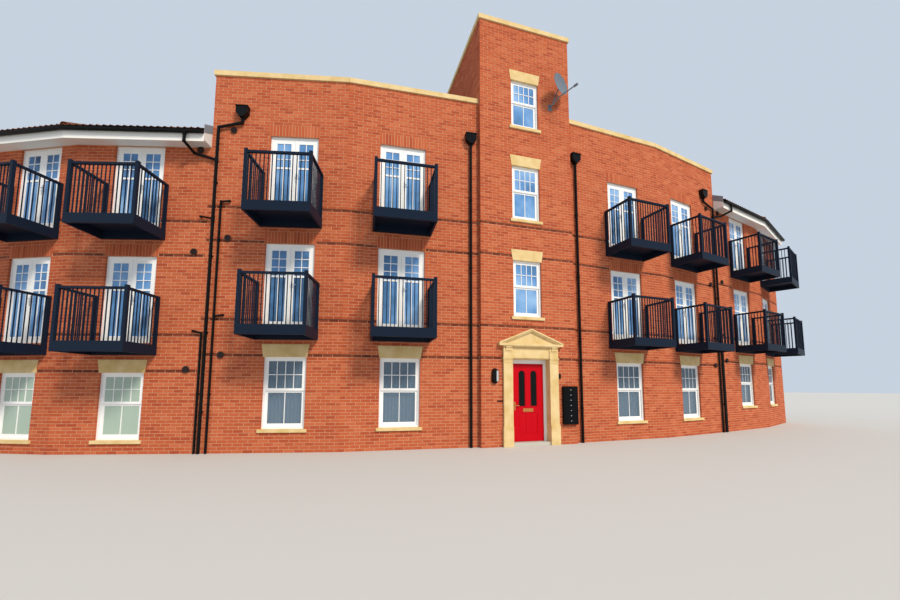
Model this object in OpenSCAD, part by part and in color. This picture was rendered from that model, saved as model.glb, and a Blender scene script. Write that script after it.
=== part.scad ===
// Three-storey brick apartment block on a faceted curve, with a stair tower in the middle.
// Millimetres, Z up. The origin is on the ground under the middle of the stair tower.
// Each side has four bays. A bay is built in its own frame: x runs along the front face
// away from the tower, y runs into the building, and z is up.

/* [Plan] */
// Width of the stair tower
tower_w = 2700; // [2500:50:3000]
// How far the tower stands in front of the bays beside it
tower_step = 150; // [100:10:250]
// Depth of the block, front face to rear face
block_d = 9000; // [8000:100:10000]
// Depth of the tower above the flat roof
tower_d = 5400; // [4000:100:6000]
// Length of each bay's front face, from the tower outwards
bay_len = [3350, 3200, 3100, 3100];
// Angle by which each bay turns back from the one before it
bay_turn = [4, 9, 2, 10.5];
// Middle of each bay's openings, from the bay's inner end
bay_middle = [1980, 1270, 1650, 1000];

/* [Levels] */
// Height from floor to floor
storey_h = 2700; // [2625:75:2850]
// Top of the first floor in the middle of the block
first_floor_z = 2850; // [2775:75:2925]
// Top of the ground floor in the middle of the block
ground_top = 85; // [75:5:90]
// Thickness of the upper floors and the roof deck
slab_t = 250; // [200:10:300]
// How far the left wing's floors lie below those of the middle, in whole brick courses
left_drop = 375; // [0:75:450]
// How far the right wing's floors lie above those of the middle, in whole brick courses
right_rise = 150; // [0:75:225]
// Top of the brickwork of the parapet
parapet_top = 9075; // [8850:75:9300]
// Top of the brickwork of the tower
tower_top = 11475; // [11250:75:11700]

/* [Walls] */
// Thickness of the outer walls
wall_t = 300; // [260:10:350]
// Thickness of the walls between the middle and the wings, and of the party walls
cross_t = 225; // [200:5:300]
// Depth from the brick face to the face of the window frames
reveal = 50; // [30:5:90]

// Bottoms of the brick courses that are set back to make a line along the front
string_z = [2175, 3000, 4875, 5700];
// Depth of those courses
string_d = 20; // [10:5:30]

/* [Openings] */
// Width of the ground-floor windows
window_w = 970; // [900:10:1200]
// Bottom of the ground-floor windows in the middle of the block
window_sill = 525; // [450:75:900]
// Bottom of the ground-floor windows in the wings
wing_sill = 675; // [525:75:900]
// Top of the ground-floor windows
window_head = 2175; // [2100:75:2325]
// Width of the balcony doors
balcony_door_w = 1150; // [1100:10:1300]
// Height of the balcony doors above their floor
balcony_door_h = 2025; // [1950:25:2100]
// Width of the tower windows
tower_window_w = 820; // [750:10:900]
// Bottoms of the tower windows, one a storey
tower_sills = [3300, 5925, 8550];
// Tops of the tower windows, one a storey
tower_heads = [4800, 7425, 9900];
// Distance of the tower windows' middle from the tower's left edge
tower_window_x = 1310; // [1200:10:1400]
// Width of the rear windows
rear_window_w = 1000; // [800:10:1200]

/* [Entrance] */
// Distance of the door's middle from the tower's left edge
door_x = 1355; // [1250:5:1400]
// Width of the entrance door leaf
door_w = 890; // [850:10:930]
// Height of the entrance door leaf
door_h = 1990; // [1950:10:2050]
// Thickness of the entrance door leaf
door_t = 44; // [40:1:54]
// Bottom of the door leaf above the ground
door_z = 95; // [80:5:120]

/* [Balconies] */
// Width of a balcony
balcony_w = 1450; // [1400:10:1600]
// Distance of a balcony's front edge from the wall
balcony_d = 1000; // [900:10:1200]
// Height of the steel edge round a balcony
balcony_edge = 220; // [150:10:250]
// Height of the railing posts above the deck
rail_h = 1170; // [1100:10:1200]

/* [Roof] */
// Slope of the wing roofs
roof_pitch = 27.5; // [25:0.5:32]
// Thickness of the wing roofs, measured upwards
roof_t = 60; // [50:10:180]
// How far the eaves stand out from the wall
eaves_out = 350; // [300:10:400]
// Underside of the eaves
soffit_z = 7580; // [7580:5:7700]
// Height of the white board along the eaves
fascia_h = 170; // [150:10:300]

/* [Hidden] */
$fn = 24;
sides = [-1, 1];
far = 40000;
// Hairline left between two pieces that meet on a face at an angle to the axes
hairline = 1;
front_y = -block_d / 2;
brick = "indianred";
stone = "wheat";

// Heading of bay i, counted from the tower front
function heading(i) = i < 0 ? 0 : heading(i - 1) + bay_turn[i];
function along(a) = [cos(a), sin(a)];
function inwards(a) = [-sin(a), cos(a)];
function bay_start(i) = i == 0 ? [tower_w / 2, front_y + tower_step]
  : bay_start(i - 1) + bay_len[i - 1] * along(heading(i - 1));
// Slant of a bay's two ends: adjoining walls meet on the line that halves the corner
function start_cut(i) = i == 0 ? bay_turn[0] : bay_turn[i] / 2;
function end_cut(i) = i == 3 ? 0 : bay_turn[i + 1] / 2;
function start_at(i, d) = d * tan(start_cut(i));
function end_at(i, d) = bay_len[i] - d * tan(end_cut(i));
function bay_point(i, s, d) = bay_start(i) + s * along(heading(i)) + d * inwards(heading(i));
function flip(points) = [for (k = [len(points) - 1:-1:0]) [-points[k][0], points[k][1]]];
// Level shift of a bay's floors
function shift(side, i) = i < 2 ? 0 : (side < 0 ? -left_drop : right_rise);
function floor_z(n) = n == 0 ? ground_top : first_floor_z + (n - 1) * storey_h;
rear_y = bay_point(0, start_at(0, block_d), block_d)[1];
roof_rise = tan(roof_pitch);
wing_wall_top = soffit_z + fascia_h + eaves_out * roof_rise;
ridge_z = soffit_z + fascia_h + (block_d / 2 + eaves_out) * roof_rise;

module on_side(side) {
  if (side < 0) mirror([1, 0, 0]) children();
  else children();
}

module on_bay(side, i) {
  on_side(side) translate(bay_start(i)) rotate(heading(i)) children();
}

// Slab over a bay between two depths, with both ends cut just short of the corner lines
module bay_slab(i, d0, d1, z0, z1) {
  translate([0, 0, z0]) linear_extrude(z1 - z0)
    polygon([[start_at(i, d0) + hairline, d0], [end_at(i, d0) - hairline, d0],
      [end_at(i, d1) - hairline, d1], [start_at(i, d1) + hairline, d1]]);
}

// Outline in depth and height, run along a bay and cut to the corner lines
run_over = 3000;
module bay_run(i, d0, d1, z0, z1, points) {
  intersection() {
    translate([-run_over, 0, 0]) rotate([90, 0, 90])
      linear_extrude(bay_len[i] + 2 * run_over) polygon(points);
    bay_slab(i, d0, d1, z0, z1);
  }
}

module block(x, w, y, d, z0, z1) {
  translate([x - w / 2, y, z0]) cube([w, d, z1 - z0]);
}

// Stone lintel, wider at its top
lintel_h = 290;
lintel_splay = 45;
lintel_d = 110;
lintel_proud = 12;
lintel_seat = 10;
module lintel(x, w, z, room = 0) {
  half = w / 2 + lintel_seat + room;
  translate([x, lintel_d + room, z]) rotate([90, 0, 0]) linear_extrude(lintel_d + lintel_proud + room)
    polygon([[-half, 0], [half, 0], [half + lintel_splay, lintel_h], [-half - lintel_splay, lintel_h]]);
}

sill_h = 75;
sill_d = 130;
sill_proud = 45;
sill_seat = 60;
module sill(x, w, z, room = 0) {
  block(x, w + 2 * sill_seat + 2 * room, -sill_proud, sill_d + sill_proud + room, z - sill_h, z);
}

// Through hole for a window, with the seats of its lintel and sill
module window_hole(x, w, z0, z1, t = wall_t) {
  block(x, w, -1, t + 2, z0, z1);
  lintel(x, w, z1, hairline);
  sill(x, w, z0, hairline);
}

function ground_sill(i) = i < 2 ? window_sill : wing_sill;

// Grooves for the string courses: the third one stops at the bricks on end over the balcony doors
string_h = 75;
soldiers_w = 1200;
module string_grooves(i, dz) {
  for (z = string_z) translate([-1, -1, z + dz]) cube([bay_len[i] + 2, string_d + 1, string_h]);
}

module soldier_face(x, dz) {
  block(x, soldiers_w, -2, string_d + 3, floor_z(1) + balcony_door_h + dz - 1, floor_z(2) + dz);
}

module bay_holes(i, dz) {
  window_hole(bay_middle[i], window_w, ground_sill(i) + dz, window_head + dz);
  for (n = [1, 2])
    block(bay_middle[i], balcony_door_w, -1, wall_t + 2, floor_z(n) + dz, floor_z(n) + balcony_door_h + dz);
}

module front_wall(i) {
  color(brick) for (side = sides) on_bay(side, i) difference() {
    bay_slab(i, 0, wall_t, 0, i < 2 ? parapet_top : wing_wall_top + shift(side, i));
    bay_holes(i, shift(side, i));
    difference() {
      string_grooves(i, shift(side, i));
      soldier_face(bay_middle[i], shift(side, i));
    }
  }
}

// Rear windows: one a storey in the middle of each rear face
function rear_middle(i) = (start_at(i, block_d) + end_at(i, block_d)) / 2;
rear_sills = [675, 3450, 6150];
rear_window_h = 1125;

module rear_frame(i) {
  translate([rear_middle(i), block_d, 0]) rotate(180) children();
}

module rear_holes() {
  for (z = rear_sills) window_hole(0, rear_window_w, z, z + rear_window_h);
}

module rear_wall(i) {
  color(brick) for (side = sides) on_bay(side, i) difference() {
    bay_slab(i, block_d - wall_t, block_d, 0, i < 2 ? parapet_top : wing_wall_top + shift(side, i));
    translate([0, 0, shift(side, i)]) rear_frame(i) rear_holes();
  }
}

module on_rear_middle() {
  translate([0, rear_y, 0]) rotate(180) children();
}

module rear_wall_middle() {
  color(brick) difference() {
    on_rear_middle() block(0, tower_w, 0, wall_t, 0, parapet_top);
    on_rear_middle() rear_holes();
  }
}

// Stair tower front, split beside and over the entrance
door_mid = -tower_w / 2 + door_x;
doorway_w = door_w + 210;
doorway_top = door_z + door_h + 135;
door_set = 180;
frame_set = 20;
module tower_grooves() {
  difference() {
    for (z = string_z) translate([-tower_w / 2, front_y, z]) {
      translate([-1, -1, 0]) cube([tower_w + 2, string_d + 1, string_h]);
      for (x = [-1, tower_w - string_d])
        translate([x, -1, 0]) cube([string_d + 1, tower_step + 1, string_h]);
    }
    block(door_mid, 2 * case_half, front_y - 2, wall_t, 0, cornice_z);
  }
}

module tower_pier(x0, x1) {
  color(brick) difference() {
    translate([x0, front_y, 0]) cube([x1 - x0, wall_t, doorway_top]);
    tower_grooves();
  }
}

module on_tower() {
  translate([-tower_w / 2, front_y, 0]) children();
}

module tower_front_wall() {
  color(brick) on_tower() difference() {
    translate([0, 0, doorway_top]) cube([tower_w, wall_t, tower_top - doorway_top]);
    for (k = [0:2]) window_hole(tower_window_x, tower_window_w, tower_sills[k], tower_heads[k]);
    translate([tower_w / 2, -front_y, 0]) tower_grooves();
  }
}

tower_side_t = 225;
module tower_upper_walls() {
  color(brick) translate([-tower_w / 2, front_y + wall_t, floor_z(3)]) difference() {
    cube([tower_w, tower_d - wall_t, tower_top - floor_z(3)]);
    translate([tower_side_t, -1, -1])
      cube([tower_w - 2 * tower_side_t, tower_d - wall_t - tower_side_t + 1, tower_top]);
  }
}

// Outline of the wing roof's underside, in depth and height
module wing_gable(x, t, up) {
  near = wall_t + hairline;
  back = block_d - near;
  foot = wing_wall_top + near * roof_rise + up;
  translate([x - t, 0, 0]) rotate([90, 0, 90]) linear_extrude(t)
    polygon([[near, 0], [back, 0], [back, foot], [block_d / 2, ridge_z + up], [near, foot]]);
}

// The walls beside the wings rise as gables above the wing roofs
gable_up = 150;
module cross_walls() {
  color(brick) for (side = sides) on_bay(side, 1) {
    s = shift(side, 2);
    near = wall_t + hairline;
    back = block_d - near;
    end_0 = end_at(1, near) - hairline;
    end_1 = end_at(1, back) - hairline;
    outline = [[end_0 - cross_t, near], [end_0, near], [end_1, back], [end_1 - cross_t, back]];
    linear_extrude(parapet_top) polygon(outline);
    intersection() {
      linear_extrude(far) polygon(outline);
      translate([0, 0, s]) wing_gable(bay_len[1] + run_over, 2 * run_over, roof_t + gable_up);
    }
  }
}

module party_walls() {
  color(brick) for (side = sides) on_bay(side, 3) intersection() {
    translate([0, 0, shift(side, 3)]) wing_gable(bay_len[3], cross_t, -hairline);
    linear_extrude(far) square([bay_len[3] + 1, block_d]);
  }
}

// Floor outlines: just short of the inner faces of the walls
floor_front = wall_t + hairline;
floor_rear = block_d - wall_t - hairline;
cross_in = cross_t + 3 * hairline;
middle_front = [[tower_w / 2 - hairline, front_y + floor_front],
  bay_point(0, start_at(0, floor_front) - hairline, floor_front),
  bay_point(0, end_at(0, floor_front), floor_front),
  bay_point(1, end_at(1, floor_front) - cross_in, floor_front)];
middle_rear = [bay_point(1, end_at(1, floor_rear) - cross_in, floor_rear),
  bay_point(0, end_at(0, floor_rear), floor_rear), bay_point(0, start_at(0, floor_rear), floor_rear)];
middle_outline = concat(middle_front, middle_rear, flip(concat(middle_front, middle_rear)));
wing_outline = [bay_point(2, start_at(2, floor_front) + hairline, floor_front),
  bay_point(2, end_at(2, floor_front), floor_front), bay_point(3, bay_len[3] - cross_in, floor_front),
  bay_point(3, bay_len[3] - cross_in, floor_rear), bay_point(2, end_at(2, floor_rear), floor_rear),
  bay_point(2, start_at(2, floor_rear) + hairline, floor_rear)];

module middle_floor(z0, z1) {
  color("lightgray") translate([0, 0, z0]) linear_extrude(z1 - z0) polygon(middle_outline);
}

module wing_floor(side, z0, z1) {
  color("lightgray") on_side(side) translate([0, 0, z0]) linear_extrude(z1 - z0) polygon(wing_outline);
}

module ground_floor() {
  middle_floor(0, ground_top);
  for (side = sides) wing_floor(side, 0, max(60, ground_top + shift(side, 2)));
}

module upper_floor(n) {
  middle_floor(floor_z(n) - slab_t, floor_z(n));
  for (side = sides) wing_floor(side, floor_z(n) - slab_t + shift(side, 2), floor_z(n) + shift(side, 2));
}

module roof_deck() {
  middle_floor(floor_z(3) - slab_t, floor_z(3));
}

ceiling_t = 150;
ceiling_h = 2350;
module wing_ceilings() {
  for (side = sides) {
    z = floor_z(2) + ceiling_h + shift(side, 2);
    wing_floor(side, z, z + ceiling_t);
  }
}

tower_roof_drop = 550;
tower_roof_t = 200;
module tower_roof() {
  color("dimgray") translate([-tower_w / 2 + tower_side_t, front_y + wall_t, tower_top - tower_roof_drop])
    cube([tower_w - 2 * tower_side_t, tower_d - wall_t - tower_side_t, tower_roof_t]);
}

// Pitched roofs of the wings
eaves_z = soffit_z + fascia_h;
module wing_roofs() {
  near = -eaves_out;
  reach = block_d + eaves_out;
  color("saddlebrown") for (side = sides) for (i = [2, 3]) on_bay(side, i)
    translate([0, 0, shift(side, i)])
      bay_run(i, near, reach, eaves_z - 1, far, [[near, eaves_z], [block_d / 2, ridge_z], [reach, eaves_z],
        [reach, eaves_z + roof_t], [block_d / 2, ridge_z + roof_t], [near, eaves_z + roof_t]]);
}

// White soffit and fascia boards under the eaves, as an outline of distance from the wall and height
board_t = 25;
fascia_lip = 50;
board_back = eaves_out - board_t;
board_outline = [[eaves_out, soffit_z - fascia_lip], [eaves_out, eaves_z - hairline],
  [board_back, eaves_z - hairline + board_t * roof_rise], [board_back, soffit_z + board_t],
  [hairline, soffit_z + board_t], [hairline, soffit_z],
  [board_back, soffit_z], [board_back, soffit_z - fascia_lip]];
module eaves_boxes() {
  low = soffit_z - fascia_lip;
  front_outline = [for (p = board_outline) [-p[0], p[1]]];
  rear_outline = [for (p = board_outline) [block_d + p[0], p[1]]];
  color("white") for (side = sides) for (i = [2, 3]) on_bay(side, i) translate([0, 0, shift(side, i)]) {
    bay_run(i, -eaves_out, 0, low, wing_wall_top, front_outline);
    bay_run(i, block_d, block_d + eaves_out, low, wing_wall_top, rear_outline);
  }
}

// Black half-round gutters, open at the top, with a spigot where the pipe takes the water
gutter_r = 60;
gutter_t = 6;
spigot_r = 42;
spigot_z = eaves_z - gutter_r - 30;
module gutter_rod(i, y, r) {
  translate([-run_over, y, eaves_z]) rotate([90, 0, 90]) cylinder(h = bay_len[i] + 2 * run_over, r = r);
}

module gutter_run(i, y, outlet = -1) {
  difference() {
    union() {
      intersection() {
        gutter_rod(i, y, gutter_r);
        bay_slab(i, y - gutter_r, y + gutter_r, eaves_z - gutter_r, eaves_z);
      }
      if (outlet >= 0) translate([outlet, y, spigot_z]) cylinder(h = gutter_r, r = spigot_r);
    }
    gutter_rod(i, y, gutter_r - gutter_t);
  }
}

// Distance of the wing gutter's outlet from the wing's inner end
outlet_s = 400;
module gutters() {
  color("black") for (side = sides) for (i = [2, 3]) on_bay(side, i) translate([0, 0, shift(side, i)]) {
    gutter_run(i, -eaves_out - gutter_r - hairline, i == 2 ? outlet_s : -1);
    gutter_run(i, block_d + eaves_out + gutter_r + hairline);
  }
}

// Stone copings: a run over each wall, with a mortar joint at each corner
coping_h = 125;
coping_out = 40;
joint_w = 6;
module coping_slab(points) {
  translate([0, 0, parapet_top]) linear_extrude(coping_h) polygon(points);
}

module bay_coping(i, d0, d1) {
  over = i == 1 ? coping_out : -joint_w / 2;
  coping_slab([[start_at(i, d0) + joint_w / 2, d0], [end_at(i, d0) + over, d0],
    [end_at(i, d1) + over, d1], [start_at(i, d1) + joint_w / 2, d1]]);
}

// The return over a cross wall stops where the gable rises through its level
module cross_coping(d0, d1) {
  inner = -cross_t - coping_out;
  coping_slab([[end_at(1, d0) + inner, d0], [end_at(1, d0) + coping_out, d0],
    [end_at(1, d1) + coping_out, d1], [end_at(1, d1) + inner, d1]]);
}

module parapet_copings() {
  inside = wall_t + coping_out;
  color(stone) for (side = sides) {
    gable_d = (parapet_top - eaves_z - roof_t - gable_up - shift(side, 2)) / roof_rise - eaves_out - joint_w;
    for (i = [0, 1]) on_bay(side, i) {
      bay_coping(i, -coping_out, inside);
      bay_coping(i, block_d - inside, block_d + coping_out);
    }
    on_bay(side, 1) {
      cross_coping(inside + joint_w, gable_d);
      cross_coping(block_d - gable_d, block_d - inside - joint_w);
    }
  }
  color(stone) translate([0, rear_y - inside, parapet_top])
    linear_extrude(coping_h) translate([-tower_w / 2, 0]) square([tower_w, inside + coping_out]);
}

module tower_coping() {
  over = 2 * coping_out;
  inner_w = tower_w - 2 * tower_side_t - over;
  inner_d = tower_d - wall_t - tower_side_t - over;
  color(stone) translate([-tower_w / 2 - coping_out, front_y - coping_out, tower_top]) difference() {
    cube([tower_w + over, tower_d + over, coping_h]);
    translate([tower_side_t + over, wall_t + over, -1]) cube([inner_w, inner_d, coping_h + 2]);
  }
}

// Everything that sits in a window hole is placed by these three walks over the block
module at_ground_windows() {
  for (side = sides) for (i = [0:3]) on_bay(side, i)
    translate([bay_middle[i], 0, shift(side, i)]) {
      $w = window_w;
      $z0 = ground_sill(i);
      $z1 = window_head;
      children();
    }
}

module at_tower_windows() {
  for (k = [0:2]) on_tower() translate([tower_window_x, 0, 0]) {
    $w = tower_window_w;
    $z0 = tower_sills[k];
    $z1 = tower_heads[k];
    children();
  }
}

module at_rear_windows() {
  for (z = rear_sills) {
    $w = rear_window_w;
    $z0 = z;
    $z1 = z + rear_window_h;
    for (side = sides) for (i = [0:3]) on_bay(side, i) translate([0, 0, shift(side, i)])
      rear_frame(i) children();
    on_rear_middle() children();
  }
}

module at_balcony_doors() {
  for (n = [1, 2]) for (side = sides) for (i = [0:3]) on_bay(side, i)
    translate([bay_middle[i], 0, floor_z(n) + shift(side, i)]) children();
}

module window_lintels() {
  color(stone) {
    at_ground_windows() lintel(0, $w, $z1);
    at_tower_windows() lintel(0, $w, $z1);
    at_rear_windows() lintel(0, $w, $z1);
  }
}

module window_sills() {
  color(stone) {
    at_ground_windows() sill(0, $w, $z0);
    at_tower_windows() sill(0, $w, $z0);
    at_rear_windows() sill(0, $w, $z0);
  }
}

// Sash window: a frame round an upper sash, with the lower sash further back behind it
frame_t = 70;
frame_w = 45;
stile_w = 60;
top_rail_w = 52;
bottom_rail_w = 75;
meeting_up = 45;
upper_rail_w = 55;
lower_rail_w = 45;
sash_t = 28;
upper_back = 12;
lower_back = 40;
rail_lap = 30;
glass_t = 12;
glass_set = 8;
// Levels of the two lights, from the bottom up
function sash_levels(z0, z1) = let (rail = (z0 + z1) / 2 + meeting_up)
  [z0 + frame_w + bottom_rail_w, rail - lower_rail_w, rail + upper_rail_w, z1 - frame_w - top_rail_w];

module light(w, z0, z1, y, d, room) {
  block(0, w - 2 * (frame_w + stile_w) - 2 * room, y, d, z0, z1);
}

module sash_window(w, z0, z1) {
  level = sash_levels(z0, z1);
  inside = w - 2 * frame_w;
  split = level[1] + lower_rail_w;
  top = z1 - frame_w;
  difference() {
    block(0, w - 2 * hairline, reveal, frame_t, z0, z1);
    block(0, inside, reveal - 1, upper_back + 1, split, top);
    block(0, inside, reveal - 1, lower_back + 1, z0 + frame_w, split);
    block(0, inside, reveal + upper_back + sash_t, frame_t, split + rail_lap, top);
    light(w, level[0], level[1], reveal, frame_t + 1, 0);
    light(w, level[2], level[3], reveal, frame_t + 1, 0);
  }
}

module sash_glass(w, z0, z1) {
  level = sash_levels(z0, z1);
  light(w, level[0], level[1], reveal + lower_back + glass_set, glass_t, hairline);
  light(w, level[2], level[3], reveal + upper_back + glass_set, glass_t, hairline);
}

module front_windows() {
  color("white") {
    at_ground_windows() sash_window($w, $z0, $z1);
    at_tower_windows() sash_window($w, $z0, $z1);
  }
}

module rear_windows() {
  color("white") at_rear_windows() sash_window($w, $z0, $z1);
}

module ground_window_glass() {
  color("lightblue", 0.5) at_ground_windows() sash_glass($w, $z0, $z1);
}

module tower_window_glass() {
  color("lightblue", 0.5) at_tower_windows() sash_glass($w, $z0, $z1);
}

module rear_window_glass() {
  color("lightblue", 0.5) at_rear_windows() sash_glass($w, $z0, $z1);
}

// Balcony doors: a white frame round two glazed leaves, each with a bar across it
door_frame_w = 50;
leaf_stile = 95;
leaf_top = 105;
leaf_bottom = 110;
leaf_back = 10;
leaf_gap = 4;
leaf_gap_d = 20;
leaf_glass_set = 12;
transom_drop = 650;
transom_h = 45;
leaf_w = balcony_door_w / 2 - door_frame_w;
module leaf_lights(y, d, room = 0) {
  top = balcony_door_h - door_frame_w - leaf_top;
  w = leaf_w - 2 * leaf_stile - 2 * room;
  for (s = sides) {
    block(s * leaf_w / 2, w, y, d, door_frame_w + leaf_bottom, top - transom_drop);
    block(s * leaf_w / 2, w, y, d, top - transom_drop + transom_h, top);
  }
}

module balcony_doors() {
  color("white") at_balcony_doors() difference() {
    block(0, balcony_door_w - 2 * hairline, reveal, frame_t, 0, balcony_door_h);
    block(0, 2 * leaf_w, reveal - 1, leaf_back + 1, door_frame_w, balcony_door_h - door_frame_w);
    block(0, leaf_gap, reveal, leaf_back + leaf_gap_d, door_frame_w, balcony_door_h - door_frame_w);
    leaf_lights(reveal - 1, frame_t + 2);
  }
}

module balcony_door_glass() {
  color("lightblue", 0.5) at_balcony_doors()
    leaf_lights(reveal + leaf_back + leaf_glass_set, glass_t, hairline);
}

// Lever handle on a long plate, on the left leaf's meeting stile
backplate = [26, 6, 240];
backplate_z = 880;
lever = [118, 13, 20];
lever_z = 1028;
lever_neck = 16;
lever_reach = 36;
module balcony_door_handles() {
  color("silver") at_balcony_doors() {
    x = -leaf_stile / 2;
    face = reveal + leaf_back - hairline;
    block(x, backplate[0], face - backplate[1], backplate[1], backplate_z, backplate_z + backplate[2]);
    block(x, lever_neck, face - lever_reach, lever_reach - 5, lever_z + 2, lever_z + 2 + lever_neck);
    translate([x + lever_neck / 2 - lever[0], face - lever_reach - lever[1] + 1, lever_z]) cube(lever);
  }
}

// Balconies: a steel edge round a deck, open underneath, with a railing on three sides
deck_t = 45;
deck_drop = 60;
edge_t = 50;
post = 70;
bar = 18;
module on_balcony() {
  at_balcony_doors() translate([0, 0, -deck_drop]) children();
}

module balcony_decks() {
  color("darkslategray") on_balcony() difference() {
    block(0, balcony_w, -balcony_d, balcony_d - hairline, -balcony_edge, 0);
    block(0, balcony_w - 2 * edge_t, -balcony_d + edge_t, balcony_d - 2 * edge_t, -balcony_edge - 1, -deck_t);
  }
}

top_rail_h = 50;
rail_w = post - 10;
rail_top = rail_h - 40;
module rail_panel(length, count) {
  step = length / (count + 1);
  translate([0, -rail_w / 2, rail_top - top_rail_h]) cube([length, rail_w, top_rail_h]);
  for (k = [1:count]) translate([k * step - bar / 2, -bar / 2, 0]) cube([bar, bar, rail_top - 1]);
}

front_bars = 14;
side_bars = 9;
module balcony_front_railings() {
  color("darkslategray") on_balcony() {
    for (s = sides) block(s * (balcony_w - post) / 2, post, -balcony_d, post, 0, rail_h);
    translate([-balcony_w / 2 + post, -balcony_d + post / 2, 0]) rail_panel(balcony_w - 2 * post, front_bars);
  }
}

module balcony_side_railings() {
  side_len = balcony_d - post - 2 * hairline;
  color("darkslategray") on_balcony() for (s = sides) translate([s * (balcony_w - post) / 2, 0, 0]) {
    block(0, rail_w, -post, post - hairline, 0, rail_top);
    translate([0, -hairline, 0]) rotate(-90) rail_panel(side_len, side_bars);
  }
}

// Entrance doorcase: pilasters with capitals and corbels, a frieze, and a pediment on a cornice
lining_t = 25;
pilaster_w = 250;
case_out = 70;
base_h = 520;
capital_z = 2095;
corbel_z = 2400;
corbel_w = 140;
cornice_z = 2510;
cornice_h = 80;
bed_h = 20;
bed_over = 20;
bed_out = case_out + 45;
cornice_out = 130;
pediment_h = 390;
gable_tip = 25;
frieze_back = 25;
gable_back = 10;
case_in = doorway_w / 2 - lining_t;
case_half = case_in + pilaster_w;
case_half_cornice = case_half + cornice_out;
// Each moulding is a list of its steps: bottom, top and how far it stands out from the shaft
base_steps = [[0, base_h - 30, 18], [base_h - 30, base_h, 9]];
capital_steps = [[capital_z, capital_z + 18, 8], [capital_z + 65, capital_z + 85, 7],
  [capital_z + 95, capital_z + 130, 16]];
top_steps = [[corbel_z - 25, corbel_z - 10, 7], [cornice_z - 18, cornice_z, 8]];

module pilaster_steps(x, steps) {
  for (p = steps) block(x, pilaster_w + 2 * p[2], front_y - case_out - p[2], case_out + p[2], p[0], p[1]);
}

// Curved bracket on the head of a pilaster
corbel_outline = [[1, 0], [-12, 5], [-19, 20], [-18, 38], [-14, 50], [-20, 62], [-34, 76], [-42, 92],
  [-44, cornice_z - corbel_z], [1, cornice_z - corbel_z]];
module corbel(x) {
  translate([x - corbel_w / 2, front_y - case_out, corbel_z]) rotate([90, 0, 90])
    linear_extrude(corbel_w) polygon(corbel_outline);
}

module doorcase_pilasters() {
  lining_d = case_out / 2 + door_set - frame_set;
  color(stone) difference() {
    for (s = sides) {
      x = door_mid + s * (case_in + pilaster_w / 2);
      block(x, pilaster_w, front_y - case_out, case_out, 0, cornice_z);
      pilaster_steps(x, base_steps);
      pilaster_steps(x, capital_steps);
      pilaster_steps(x, top_steps);
      corbel(x);
      block(door_mid + s * (doorway_w - lining_t) / 2, lining_t, front_y - case_out / 2, lining_d,
        ground_top, doorway_top);
    }
    block(door_mid, 2 * case_in, front_y - cornice_out, 2 * wall_t, -1, far);
  }
}

// Raking cornice: bands that follow both slopes of the gable, each further back than the one above it
rake_steps = [[0, 40, cornice_out], [40, 72, cornice_out - 22], [72, 98, cornice_out - 48]];
module gable_outline() {
  polygon([[-case_half_cornice, 0], [case_half_cornice, 0], [case_half_cornice, gable_tip], [0, pediment_h],
    [-case_half_cornice, gable_tip]]);
}

module rake_band(top, bottom) {
  intersection() {
    difference() {
      translate([0, -top]) gable_outline();
      translate([0, -bottom]) gable_outline();
    }
    translate([-case_half_cornice, 0]) square([2 * case_half_cornice, pediment_h]);
  }
}

module doorcase_head() {
  frieze_out = case_out - frieze_back;
  lining_d = frieze_back + door_set - frame_set;
  color(stone) {
    block(door_mid, 2 * case_in, front_y - frieze_out, frieze_out, doorway_top, cornice_z);
    block(door_mid, 2 * case_in, front_y - frieze_back, lining_d, doorway_top - lining_t, doorway_top);
    block(door_mid, 2 * (case_half + bed_over), front_y - bed_out, bed_out, cornice_z, cornice_z + bed_h);
    block(door_mid, 2 * case_half_cornice, front_y - cornice_out, cornice_out,
      cornice_z + bed_h, cornice_z + cornice_h);
    translate([door_mid, front_y, cornice_z + cornice_h]) rotate([90, 0, 0]) {
      linear_extrude(case_out - gable_back) gable_outline();
      for (p = rake_steps) linear_extrude(p[2]) rake_band(p[0], p[1]);
    }
  }
}

frame_d = 90;
gap = 5;
module door_frame() {
  color("white") difference() {
    block(door_mid, doorway_w, front_y + door_set - frame_set, frame_d, ground_top, doorway_top);
    block(door_mid, door_w + 2 * gap, front_y, wall_t, ground_top - 1, door_z + door_h + gap);
  }
}

module door_threshold() {
  color("gray") {
    block(door_mid, doorway_w, front_y, wall_t, 0, ground_top);
    block(door_mid, 2 * case_in, front_y - 40, wall_t, 0, ground_top);
  }
}

// Entrance leaf: two tall glazed lights with round heads over two sunk panels
light_w = 175;
light_x = 170;
light_z0 = 896;
light_z1 = 1815;
panel_w = 215;
panel_z0 = 167;
panel_z1 = 700;
panel_d = 9;
bevel = 35;
bead_d = 5;
bead_in = 10;
bead_out = 24;
light_set = 12;
module round_headed(w, z0, z1) {
  translate([-w / 2, z0]) square([w, z1 - w / 2 - z0]);
  translate([0, z1 - w / 2]) circle(w / 2);
}

module on_leaf() {
  translate([door_mid, front_y + door_set, door_z]) children();
}

module light_shape(y, d) {
  for (s = sides) translate([s * light_x, y + d, 0]) rotate([90, 0, 0]) linear_extrude(d)
    round_headed(light_w, light_z0, light_z1);
}

// A panel's middle comes forward again inside a sloping edge
module raised_field(x) {
  h = panel_z1 - panel_z0;
  narrow = [1 - 2 * bevel / panel_w, 1 - 2 * bevel / h];
  translate([x, panel_d, panel_z0 + h / 2]) rotate([90, 0, 0])
    linear_extrude(panel_d - 2, scale = narrow, slices = 1)
      square([panel_w - bevel, h - bevel], center = true);
}

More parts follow.
